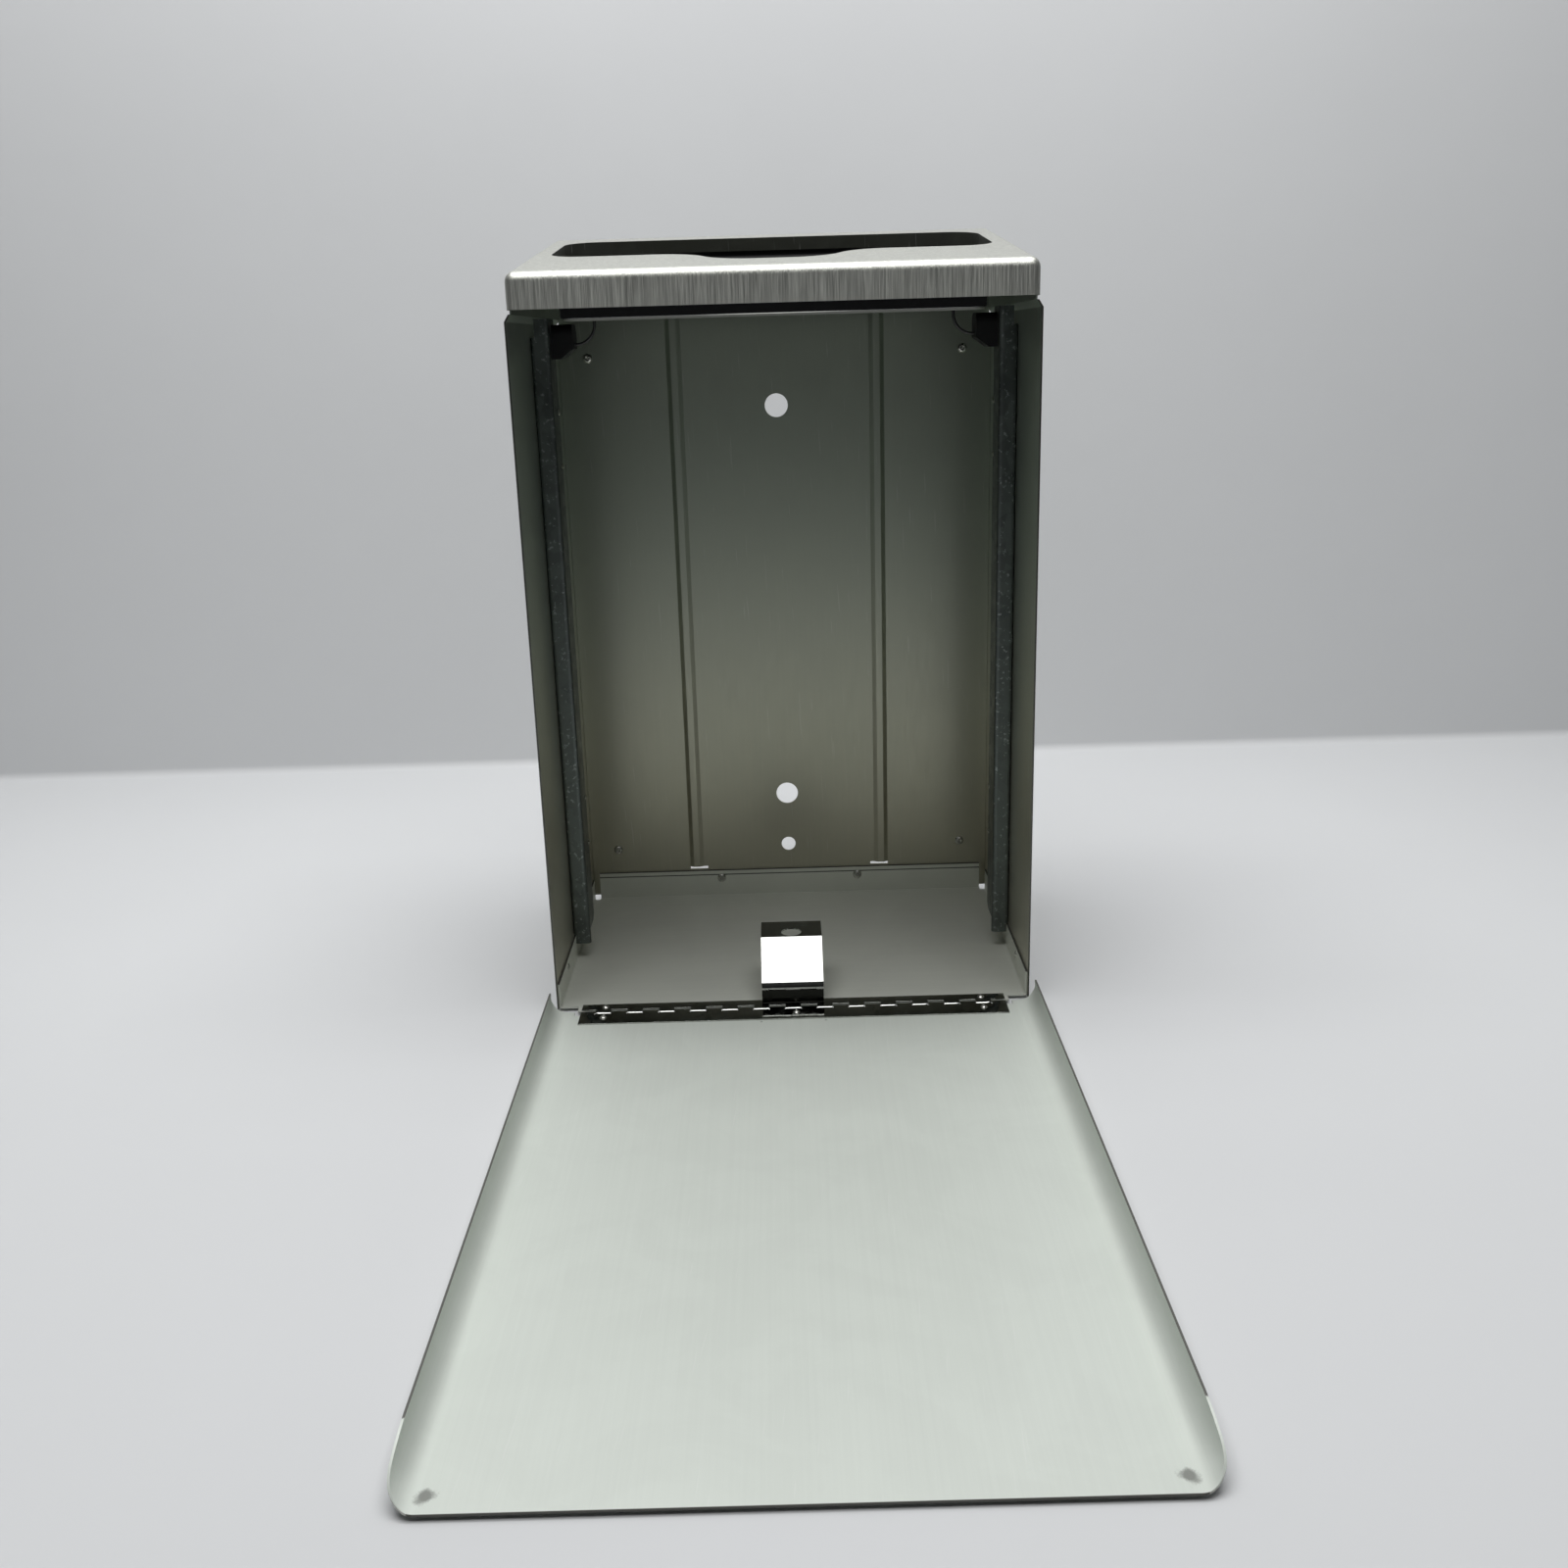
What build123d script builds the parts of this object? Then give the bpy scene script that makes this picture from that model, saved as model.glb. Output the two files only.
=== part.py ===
from build123d import *
import math
import os

os.makedirs("parts", exist_ok=True)

# Wall-mounted sheet-steel drop box with a front door that folds down on a piano hinge.
# Frame: origin at the centre of the floor pan's flat underside, +X to the viewer's right,
# +Y towards the wall, +Z up. The door lies open on the ground in front of the casing.

# Driving dimensions, in millimetres
WIDTH = 300.0             # outside of the side walls
DEPTH = 200.0             # front edge of the side walls to the wall
WALL_TOP = 419.0          # top of the side walls' flat outer face
SHEET = 1.0               # casing sheet
LEAF = 0.8                # hinge leaf and clip sheet
HOOD_FRONT_RISE = 444.2   # top of the hood at its front face
HOOD_SLOPE = 8.24         # degrees, rising towards the wall
DOOR_REACH = 524.0        # open door's free edge, in front of the origin

HALF = WIDTH / 2
FRONT = -DEPTH / 2
BACK = DEPTH / 2

# Casing
FLANGE_LAP = 32.0         # side wall's rear flange, behind the back panel
JOGGLE = 4.0              # height over which a side wall steps in under the hood
HOOD_STEP = 1.4           # side of the hood, in from the side wall's face
LAP_GAP = 0.1
TAB_FACE = HALF - HOOD_STEP - SHEET - LAP_GAP
TAB_TOP = WALL_TOP + 17.0
PANEL_GAP = 0.2
PANEL_HALF = HALF - SHEET - PANEL_GAP
PANEL_HEAD_HALF = PANEL_HALF - HOOD_STEP
PANEL_FACE = BACK - 2 * SHEET
PANEL_FOOT = 3.0
PANEL_TOP = 471.0

# Stiffening beads in the back panel
BEAD_X = 69.8
BEAD_HALF = 5.2
BEAD_CROWN_HALF = 2.2
BEAD_RISE = 1.6
BEAD_FOOT = 23.8
BEAD_TOP = 455.0
RELIEF_X = 68.3           # slot under each bead's foot
RELIEF_HALF = 6.6
RELIEF_FOOT = 21.8

# Wall fixing holes, on the centre line of the back panel
FIXING_HOLES = [(361.7, 8.0), (80.0, 8.0), (40.0, 5.25)]

# Floor pan
PAN_SIDE_RISE = 17.0
PAN_BACK_RISE = 20.5
PAN_BACK_HALF = 144.3
PAN_BACK_END = BACK - 8.0
PAN_TONGUE_HALF = 136.5
PAN_GAP = 0.1

# Hood
HOOD_FOOT = 424.3
HOOD_OVERHANG = 1.5
HOOD_ROUND = 6.0
HOOD_BACK_FLANGE = 459.0
SLOT_HALF = 134.5
SLOT_FRONT = -22.0
SLOT_BACK = 78.0
SLOT_ROUND = 20.0
BOW_HALF = 70.0
BOW_FLAT = 10.0
BOW_DEPTH = 41.0
RIM = 8.0                 # turned-down rim round the slot
BELOW_HOOD, ABOVE_HOOD = 400.0, 500.0    # heights that cuts through the hood run between

# Drop chute and trap flap under the slot
CHUTE_WALL = 2.0
CHUTE_FOOT_HALF = 123.0
CHUTE_HEAD_HALF = 139.0
CHUTE_FRONT = -67.5
CHUTE_BACK = 81.5
CHUTE_LIP = 419.7
CHUTE_THROAT_BACK = 14.0
CHUTE_SHOULDER = 458.0    # top of the sloping back
CHUTE_SILL = 4.0          # upright foot of the back
CHUTE_ENDS_LOW = CHUTE_LIP + 5.0         # the ends draw in between these heights
CHUTE_ENDS_HIGH = 446.0
CHUTE_BACK_LIFT = 0.64    # height that one millimetre of wall takes off the sloping back
FLAP_HALF = 123.0
FLAP_TAIL_HALF = 120.4    # behind the shoulder, so that the tail rises between the chute's ends
FLAP_SHOULDER = -4.0
FLAP_SHEET = 1.2
FLAP_FRONT = -67.0
FLAP_BACK = 11.0
FLAP_FOOT = 418.0
FLAP_SLOPE = 3.0
FLAP_ROUND = 8.0
PIVOT_Y = 1.0
PIVOT_Z = 405.4
ARM_R = 1.0
ARM_BEND = 12.0
ARM_LEG_X = 111.5
ARM_END_X = 135.5
BLOCK_IN = 124.5
BLOCK_FOOT = 397.0
BLOCK_HEAD = 417.5
BLOCK_HALF_DEPTH = 11.0
SPRING_POCKET_R = 4.2
SPRING_COIL_R = 2.9
SPRING_WIRE_R = 0.5
SPRING_SPAN = (127.5, 133.5)
SPRING_PITCH = 1.3

# Guide rails
RAIL_IN = 137.5
RAIL_FACE = FRONT + 80.0
RAIL_INNER_DEPTH = 24.0
RAIL_OUTER_DEPTH = 26.0
RAIL_BEND = 2.0
RAIL_FOOT = 12.0
RAIL_INNER_FOOT = 22.0
RAIL_OUTER_FOOT = 18.5
RAIL_OUTER_HEAD = 410.0
RAIL_HEAD = 421.0
HEEL_NOTCH = 3.0          # start of the cut-away foot of the inner flange, behind the web
HEEL_RISE = 5.0           # chamfer at the back of that cut
BUTTON_HEIGHTS = [78.5, 110.5, 332.0, 365.0]

# Piano hinge, its barrel rolled under the leaves
PIN_Y = FRONT - 8.0
PIN_R = 1.0
KNUCKLE_R = 1.85
PIN_Z = SHEET + LEAF - KNUCKLE_R
RUNNING_GAP = 0.05
HINGE_HALF = 134.0
KNUCKLE_PITCH = 20.0
KNUCKLE_LENGTH = 9.6
WINDOW = 1.4              # open slot between a leaf and the other leaf's knuckles
BODY_LEAF_BACK = FRONT + 3.0
DOOR_LEAF_FRONT = FRONT - 25.0

# Door
DOOR_HALF = 152.0
DOOR_FLANGE = 18.0
DOOR_BEND = 10.5
DOOR_LEAN = 3.4           # the flanges lean in over the side walls
DOOR_WIDEST = 153.6
DOOR_CORNER = 11.0
DOOR_SWEEP = 45.0         # radius of the flange's run-out at the free edge
DOOR_FLANGE_BACK = PIN_Y + KNUCKLE_R
DOOR_HEEL = [(FRONT - 15.0, 19.0), (FRONT - 10.5, 15.3), (FRONT - 6.5, 8.0), (FRONT - 4.5, 3.0)]

# Clip on the hinge, inside the door
CLIP_HALF = 19.5
CLIP_HOLE_R = 6.5
CLIP_HOLE_Y = FRONT + 27.0
CLIP_RIDGE = 12.4         # height of the kink where the riser turns into the ramp
CLIP_TOP = 37.6
CLIP_RAMP_FOOT = (FRONT - 2.2, 15.4)
CLIP_RAMP_HEAD = FRONT + 20.0
CLIP_BACK = FRONT + 45.0

# Rivets
RIVET_R = 1.6
RIVET_HOLE_R = 1.65
HEAD_R = 3.3
HEAD_RISE = 1.5
SMALL_HEAD_R = 2.3
SMALL_HEAD_RISE = 1.1
TAIL_R = 2.5
TAIL_RISE = 0.6


def span(x0, x1, y0, y1, z0, z1):
    """Block between two corners."""
    return Pos((x0 + x1) / 2, (y0 + y1) / 2, (z0 + z1) / 2) * Box(x1 - x0, y1 - y0, z1 - z0)


def rod(start, direction, radius, length):
    """Round bar from a point along a direction."""
    return extrude(Plane(origin=start, z_dir=direction) * Circle(radius), length)


def side_outline(points, x0, x1):
    """Solid with an outline in the YZ plane, between two X positions."""
    face = make_face(Polyline(*points, close=True))
    return Pos(x0, 0, 0) * extrude(Plane.YZ * face, x1 - x0)


def front_outline(points, y0, y1):
    """Solid with an outline in the XZ plane, between two Y positions."""
    face = make_face(Polyline(*points, close=True))
    return Pos(0, y1, 0) * extrude(Plane.XZ * face, y1 - y0)


def hood_top(y, inset=0.0):
    """Height of the hood's sloping top, or of a surface that far below it."""
    slope = math.radians(HOOD_SLOPE)
    rise = (y - FRONT + HOOD_OVERHANG) * math.tan(slope)
    return HOOD_FRONT_RISE + rise - inset / math.cos(slope)


def flap_base(y):
    """Height of the flap's underside."""
    return FLAP_FOOT + (y - FLAP_FRONT) * math.tan(math.radians(FLAP_SLOPE))


def rivet(head, direction, grip, head_r=HEAD_R, rise=HEAD_RISE, tail=TAIL_RISE):
    """Domed rivet: head on the point, shank along the direction, upset tail beyond the grip."""
    ball_r = (head_r ** 2 + rise ** 2) / (2 * rise)
    turn = math.asin(head_r / ball_r) / 2
    crown = (ball_r * math.sin(turn), ball_r * (1 - math.cos(turn)) - rise)
    dome = ThreePointArc((0, -rise), crown, (head_r, 0))
    shank = [(head_r, 0), (RIVET_R, 0), (RIVET_R, grip)]
    if tail:
        shank += [(TAIL_R, grip), (TAIL_R, grip + tail)]
    shank += [(0, grip + tail), (0, -rise)]
    profile = make_face([dome, Polyline(*shank)])
    turned = revolve(Plane.XZ * profile, Axis.Z)
    return Plane(origin=head, z_dir=direction) * turned


def rivet_hole(point, direction, reach=4.0):
    """Hole for a rivet's shank, running both ways from a point."""
    away = Vector(*direction).normalized()
    return rod(Vector(*point) - away * reach, away, RIVET_HOLE_R, 2 * reach)


def mirrored(part):
    """The same piece on the other side of the box."""
    return part.mirror(Plane.YZ)


BACK_RIVET_X = 129.0
BACK_RIVET_HEIGHTS = (38.5, 396.3)
BACK_RIVETS = [(x, z) for x in (-BACK_RIVET_X, BACK_RIVET_X) for z in BACK_RIVET_HEIGHTS]
HOOD_RIVETS = [(-110.0, 465.0), (0.0, 465.0), (110.0, 465.0)]
PAN_BACK_RIVETS = [(-51.5, 14.3), (51.5, 14.3)]
PAN_SIDE_RIVET = (FRONT + 41.0, 12.0)
PAN_SIDE_PILOT = (FRONT + 62.0, 13.5)
BODY_LEAF_RIVETS = [(-119.0, FRONT - 1.6), (119.0, FRONT - 1.6)]
DOOR_LEAF_RIVETS = [(-119.0, FRONT - 16.5), (2.0, FRONT - 16.5), (119.0, FRONT - 16.5)]
CLIP_RIVET = (0.0, FRONT + 0.2)
BLOCK_RIVET = (PIVOT_Y - 7.0, BLOCK_HEAD - 8.0)
BUTTON_Y = RAIL_FACE + RAIL_INNER_DEPTH - 2.4


def bead(x, inset):
    """Pressed bead with sloping flanks, or the hollow behind it when inset by the sheet."""
    foot_half, crown_half = BEAD_HALF - inset * 0.45, BEAD_CROWN_HALF - inset * 0.45
    foot_y, crown_y = PANEL_FACE + inset, PANEL_FACE - BEAD_RISE + inset
    line = Polyline((x - foot_half, foot_y), (x - crown_half, crown_y), (x + crown_half, crown_y),
                    (x + foot_half, foot_y), close=True)
    profile = make_face(line)
    profile = fillet(profile.vertices().group_by(Axis.Y)[0], 0.8)
    return Pos(0, 0, BEAD_FOOT) * extrude(profile, BEAD_TOP - BEAD_FOOT - 3 * inset, dir=(0, 0, 1))


def back_panel():
    """Flat rear sheet with two pressed beads, wall fixing holes and rivet holes."""
    low, high, shoulder = PANEL_HALF, PANEL_HEAD_HALF, WALL_TOP - 1
    outline = [(-low, PANEL_FOOT), (low, PANEL_FOOT), (low, shoulder), (high, shoulder),
               (high, PANEL_TOP), (-high, PANEL_TOP), (-high, shoulder), (-low, shoulder)]
    panel = front_outline(outline, PANEL_FACE, PANEL_FACE + SHEET)
    panel = fillet(panel.edges().filter_by(Axis.Y).group_by(Axis.Z)[-1], HOOD_ROUND + 1)
    for side in (-1, 1):
        panel += bead(side * BEAD_X, 0)
        panel -= bead(side * BEAD_X, SHEET)
        panel -= span(side * RELIEF_X - RELIEF_HALF, side * RELIEF_X + RELIEF_HALF,
                      PANEL_FACE - BEAD_RISE - 1, BACK, RELIEF_FOOT, BEAD_FOOT)
    for z, radius in FIXING_HOLES:
        panel -= rod((0, PANEL_FACE - 5, z), (0, 1, 0), radius, 10)
    for x, z in BACK_RIVETS + HOOD_RIVETS + PAN_BACK_RIVETS:
        panel -= rivet_hole((x, PANEL_FACE, z), (0, 1, 0))
    return panel


def side_wall():
    """Right-hand wall: flat sheet, joggled in under the hood, with a flange behind the back panel."""
    shoulder = WALL_TOP - 1
    tab_foot = shoulder + JOGGLE
    outline = [(HALF, 0), (HALF, shoulder), (TAB_FACE, tab_foot), (TAB_FACE, TAB_TOP),
               (TAB_FACE - SHEET, TAB_TOP), (TAB_FACE - SHEET, tab_foot), (HALF - SHEET, shoulder),
               (HALF - SHEET, 0)]
    wall = front_outline(outline, FRONT, BACK)
    wall -= span(HALF - 5, HALF + 1, FRONT - 1, FRONT + 6, tab_foot, TAB_TOP + 1)
    wall -= span(HALF - 5, HALF + 1, BACK - 3, BACK + 1, shoulder, TAB_TOP + 1)
    wall += span(HALF - FLANGE_LAP, HALF, BACK - SHEET, BACK, PANEL_FOOT, shoulder)
    wall = fillet(wall.edges().filter_by(Axis.Z).group_by(Axis.X)[-1].sort_by(Axis.Y)[-1], 0.9)
    for z in BACK_RIVET_HEIGHTS:
        wall -= rivet_hole((BACK_RIVET_X, BACK, z), (0, 1, 0))
    wall -= rivet_hole((HALF - SHEET, *PAN_SIDE_RIVET), (1, 0, 0))
    return wall


def bottom_pan():
    """Floor tray with low flanges at the sides and back, and a tongue under the hinge."""
    mid = HALF - SHEET - PAN_GAP - SHEET / 2
    line = FilletPolyline((-mid, PAN_SIDE_RISE), (-mid, SHEET / 2), (mid, SHEET / 2),
                          (mid, PAN_SIDE_RISE), radius=1.5)
    tray_front, tray_back = FRONT + 2, PAN_BACK_END
    tray = extrude(Plane.XZ * trace(line, SHEET), tray_back - tray_front)
    pan = Pos(0, tray_back, 0) * tray
    pan += span(-PAN_TONGUE_HALF, PAN_TONGUE_HALF, PIN_Y + KNUCKLE_R + WINDOW, tray_front, 0, SHEET)
    flange_face = PANEL_FACE - PAN_GAP - SHEET
    pan += span(-PAN_BACK_HALF, PAN_BACK_HALF, tray_back, flange_face + SHEET, 0, SHEET)
    pan += span(-PAN_BACK_HALF, PAN_BACK_HALF, flange_face, flange_face + SHEET, 0, PAN_BACK_RISE)
    for x, z in PAN_BACK_RIVETS:
        pan -= rivet_hole((x, PANEL_FACE, z), (0, 1, 0))
    for side in (-1, 1):
        pan -= rivet_hole((side * mid, *PAN_SIDE_RIVET), (1, 0, 0))
        pan -= rod((side * mid - 2, *PAN_SIDE_PILOT), (1, 0, 0), 1.0, 4)
    for x, y in BODY_LEAF_RIVETS + [CLIP_RIVET]:
        pan -= rivet_hole((x, y, 0), (0, 0, 1))
    return pan


def slot_face(grow=0.0):
    """Plan outline of the drop slot, with a bow in the middle of its front edge."""
    front, back, half = SLOT_FRONT, SLOT_BACK, SLOT_HALF
    run, drop = (BOW_HALF - BOW_FLAT) / 2, BOW_DEPTH / 2
    bend_r = (run ** 2 + drop ** 2) / (2 * drop)
    turn = math.degrees(math.asin(run / bend_r))
    entry = JernArc((-BOW_HALF, front), (1, 0), bend_r, -turn)
    settle = JernArc(entry @ 1, entry % 1, bend_r, turn)
    flat = Line((-BOW_FLAT, front - BOW_DEPTH), (BOW_FLAT, front - BOW_DEPTH))
    sides = [entry, settle, mirror(entry, Plane.YZ), mirror(settle, Plane.YZ)]
    outer = Polyline((BOW_HALF, front), (half, front), (half, back), (-half, back),
                     (-half, front), (-BOW_HALF, front))
    face = make_face([*sides, flat, outer])
    corners = [v for v in face.vertices() if abs(v.X) > half - 0.1]
    face = fillet(corners, SLOT_ROUND)
    return offset(face, grow) if grow else face


def hood_block(inset, foot, back):
    """Solid of the hood's outside, or of its hollow when inset by the sheet."""
    half = HALF - HOOD_STEP - inset
    front = FRONT - HOOD_OVERHANG + inset
    outline = [(front, foot), (front, hood_top(front, inset)), (back, hood_top(back, inset)), (back, foot)]
    block = side_outline(outline, -half, half)
    top_front = block.edges().filter_by(Axis.X).group_by(Axis.Y)[0].sort_by(Axis.Z)[-1]
    upright = block.edges().filter_by(Axis.Z).group_by(Axis.Y)[0]
    along = [e for e in block.edges() if abs(e.tangent_at(0.5).Y) > 0.5]
    sloping = [e for e in along if e.center().Z > HOOD_FRONT_RISE - 2]
    return fillet([top_front, *upright, *sloping], HOOD_ROUND - inset)


def hood():
    """Drawn hood: sloping top with a rimmed slot, skirts on three sides and a flange at the back."""
    shell = hood_block(0, HOOD_FOOT, BACK) - hood_block(SHEET, HOOD_FOOT - 5, BACK + 5)
    under = side_outline([(FRONT - 5, BELOW_HOOD), (FRONT - 5, hood_top(FRONT - 5, RIM)),
                          (BACK, hood_top(BACK, RIM)), (BACK, BELOW_HOOD)], -HALF, HALF)
    rim = extrude(Pos(0, 0, BELOW_HOOD) * slot_face(SHEET), ABOVE_HOOD - BELOW_HOOD)
    rim = (rim - under) & hood_block(SHEET / 2, HOOD_FOOT, BACK - SHEET)
    half, top = HALF - 2 * HOOD_ROUND, hood_top(BACK - SHEET, SHEET / 2)
    flange = span(-half, half, BACK - SHEET, BACK, HOOD_BACK_FLANGE, top)
    for x, z in HOOD_RIVETS:
        flange -= rivet_hole((x, BACK, z), (0, 1, 0))
    slot = extrude(Pos(0, 0, BELOW_HOOD) * slot_face(), ABOVE_HOOD - BELOW_HOOD)
    return shell + rim - slot + flange


def chute_block(inset):
    """Funnel outline: upright front, sloping back and ends that draw in towards the foot."""
    front, back = CHUTE_FRONT + inset, CHUTE_BACK - inset
    foot, throat = CHUTE_LIP, CHUTE_THROAT_BACK - inset
    spill, lift = 3 * inset, CHUTE_BACK_LIFT * inset
    throat_z = foot + (throat - front) * math.tan(math.radians(FLAP_SLOPE))
    side = [(front, foot - spill), (front, hood_top(front, SHEET + 0.1) + spill),
            (back, hood_top(back, SHEET + 0.1) + spill), (back, CHUTE_SHOULDER + lift),
            (throat, throat_z + CHUTE_SILL + lift), (throat, throat_z - spill)]
    foot_half, head_half = CHUTE_FOOT_HALF - inset, CHUTE_HEAD_HALF - inset
    low, high = CHUTE_ENDS_LOW, CHUTE_ENDS_HIGH
    ends = [(-foot_half, BELOW_HOOD), (foot_half, BELOW_HOOD), (foot_half, low), (head_half, high),
            (head_half, ABOVE_HOOD), (-head_half, ABOVE_HOOD), (-head_half, high), (-foot_half, low)]
    return side_outline(side, -HALF, HALF) & front_outline(ends, FRONT, BACK)


def drop_chute():
    """Moulded funnel between the slot and the flap, open at the top and at the foot."""
    return chute_block(0) - chute_block(CHUTE_WALL)


def drop_flap():
    """Trap flap: thin plate lying under the chute's lip, narrower behind its pivot."""
    plan = make_face(Polyline((-FLAP_HALF, FLAP_FRONT), (FLAP_HALF, FLAP_FRONT), (FLAP_HALF, FLAP_SHOULDER),
                              (FLAP_TAIL_HALF, FLAP_SHOULDER), (FLAP_TAIL_HALF, FLAP_BACK),
                              (-FLAP_TAIL_HALF, FLAP_BACK), (-FLAP_TAIL_HALF, FLAP_SHOULDER),
                              (-FLAP_HALF, FLAP_SHOULDER), close=True))
    plan = fillet(plan.vertices().group_by(Axis.Y)[0], FLAP_ROUND)
    flat = extrude(plan, FLAP_SHEET)
    tilt = Pos(0, FLAP_FRONT, FLAP_FOOT) * Rot(FLAP_SLOPE, 0, 0) * Pos(0, -FLAP_FRONT, 0)
    return tilt * flat


def flap_arm():
    """Right-hand bent wire: turns in its block, then bends up to the flap's underside."""
    bend_x, top = ARM_LEG_X + ARM_BEND, flap_base(PIVOT_Y - ARM_R) - 0.01
    path = FilletPolyline((ARM_END_X, PIVOT_Y, PIVOT_Z), (ARM_LEG_X, PIVOT_Y, PIVOT_Z),
                          (ARM_LEG_X, PIVOT_Y, top), radius=bend_x - ARM_LEG_X)
    section = Plane(origin=path @ 0, z_dir=path % 0) * Circle(ARM_R)
    return sweep(section, path)


def pivot_block():
    """Right-hand bearing block on the rail, hollow round the return spring."""
    outline = [(BLOCK_IN, BLOCK_FOOT + 6), (BLOCK_IN + 8, BLOCK_FOOT), (RAIL_IN, BLOCK_FOOT),
               (RAIL_IN, BLOCK_HEAD), (BLOCK_IN, BLOCK_HEAD)]
    block = front_outline(outline, PIVOT_Y - BLOCK_HALF_DEPTH, PIVOT_Y + BLOCK_HALF_DEPTH)
    block = fillet(block.edges().filter_by(Axis.X).group_by(Axis.Z)[-1], 6)
    block -= rod((BLOCK_IN - 1, PIVOT_Y, PIVOT_Z), (1, 0, 0), ARM_R + RUNNING_GAP, ARM_END_X + 1.5 - BLOCK_IN)
    start, end = SPRING_SPAN
    block -= rod((start - 0.8, PIVOT_Y, PIVOT_Z), (1, 0, 0), SPRING_POCKET_R, end - start + 1.6)
    return block - rivet_hole((RAIL_IN, *BLOCK_RIVET), (1, 0, 0), 4.0)


def flap_spring():
    """Right-hand return spring, coiled round the arm inside its block."""
    start, end = SPRING_SPAN
    coil = Helix(SPRING_PITCH, end - start, SPRING_COIL_R)
    section = Plane(origin=coil @ 0, z_dir=coil % 0) * Circle(SPRING_WIRE_R)
    spring = sweep(section, coil)
    return Plane(origin=(start, PIVOT_Y, PIVOT_Z), x_dir=(0, 1, 0), z_dir=(1, 0, 0)) * spring


def rail():
    """Right-hand guide channel: web facing the door, one flange inwards and one on the side wall."""
    half = SHEET / 2
    inner, outer, web = RAIL_IN + half, HALF - SHEET - half, RAIL_FACE + half
    line = FilletPolyline((inner, RAIL_FACE + RAIL_INNER_DEPTH), (inner, web), (outer, web),
                          (outer, RAIL_FACE + RAIL_OUTER_DEPTH), radius=RAIL_BEND)
    channel = Pos(0, 0, RAIL_FOOT) * extrude(trace(line, SHEET), RAIL_HEAD - RAIL_FOOT)
    clear, clear_head = HALF - 2.5 * SHEET, TAB_FACE - 1.3 * SHEET
    back = RAIL_FACE + RAIL_OUTER_DEPTH + 1
    channel -= span(clear, HALF, RAIL_FACE - 1, back, RAIL_FOOT - 1, RAIL_OUTER_FOOT)
    channel -= span(clear_head, HALF, RAIL_FACE - 1, back, RAIL_OUTER_HEAD, RAIL_HEAD + 1)
    notch, chamfer = RAIL_FACE + HEEL_NOTCH, RAIL_FACE + RAIL_INNER_DEPTH - HEEL_RISE
    heel = [(notch, RAIL_FOOT - 1), (back, RAIL_FOOT - 1), (back, RAIL_INNER_FOOT + HEEL_RISE),
            (chamfer, RAIL_INNER_FOOT), (notch, RAIL_INNER_FOOT)]
    channel -= side_outline(heel, RAIL_IN - 1, RAIL_IN + 3)
    for z in BUTTON_HEIGHTS:
        channel -= rivet_hole((RAIL_IN, BUTTON_Y, z), (1, 0, 0), 3)
    return channel - rivet_hole((RAIL_IN, *BLOCK_RIVET), (1, 0, 0), 3)


def knuckles(offset_x):
    """X ranges of one leaf's knuckles."""
    ranges = []
    x = offset_x
    while x < HINGE_HALF:
        low, high = x - KNUCKLE_LENGTH / 2, x + KNUCKLE_LENGTH / 2
        ranges.append((max(low, -HINGE_HALF), min(high, HINGE_HALF)))
        x += KNUCKLE_PITCH
    return ranges


def hinge_leaf(offset_x, near, far, rivets):
    """Flat leaf from near to far in Y, with its knuckles on the pin's side."""
    leaf = span(-HINGE_HALF, HINGE_HALF, near, far, SHEET, SHEET + LEAF)
    edge = near if far > PIN_Y else far
    for start, end in knuckles(offset_x):
        leaf += span(start, end, min(PIN_Y, edge), max(PIN_Y, edge), SHEET, SHEET + LEAF)
        leaf += rod((start, PIN_Y, PIN_Z), (1, 0, 0), KNUCKLE_R, end - start)
    leaf -= rod((-HALF, PIN_Y, PIN_Z), (1, 0, 0), PIN_R + RUNNING_GAP, WIDTH)
    for x, y in rivets:
        leaf -= rivet_hole((x, y, SHEET), (0, 0, 1))
    return leaf


def hinge_body_leaf():
    """Leaf riveted to the floor pan."""
    near = PIN_Y + KNUCKLE_R + WINDOW
    return hinge_leaf(-120.0, near, BODY_LEAF_BACK, BODY_LEAF_RIVETS + [CLIP_RIVET])


def hinge_door_leaf():
    """Leaf riveted to the door."""
    far = PIN_Y - KNUCKLE_R - WINDOW
    return hinge_leaf(-130.0, DOOR_LEAF_FRONT, far, DOOR_LEAF_RIVETS)


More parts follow.
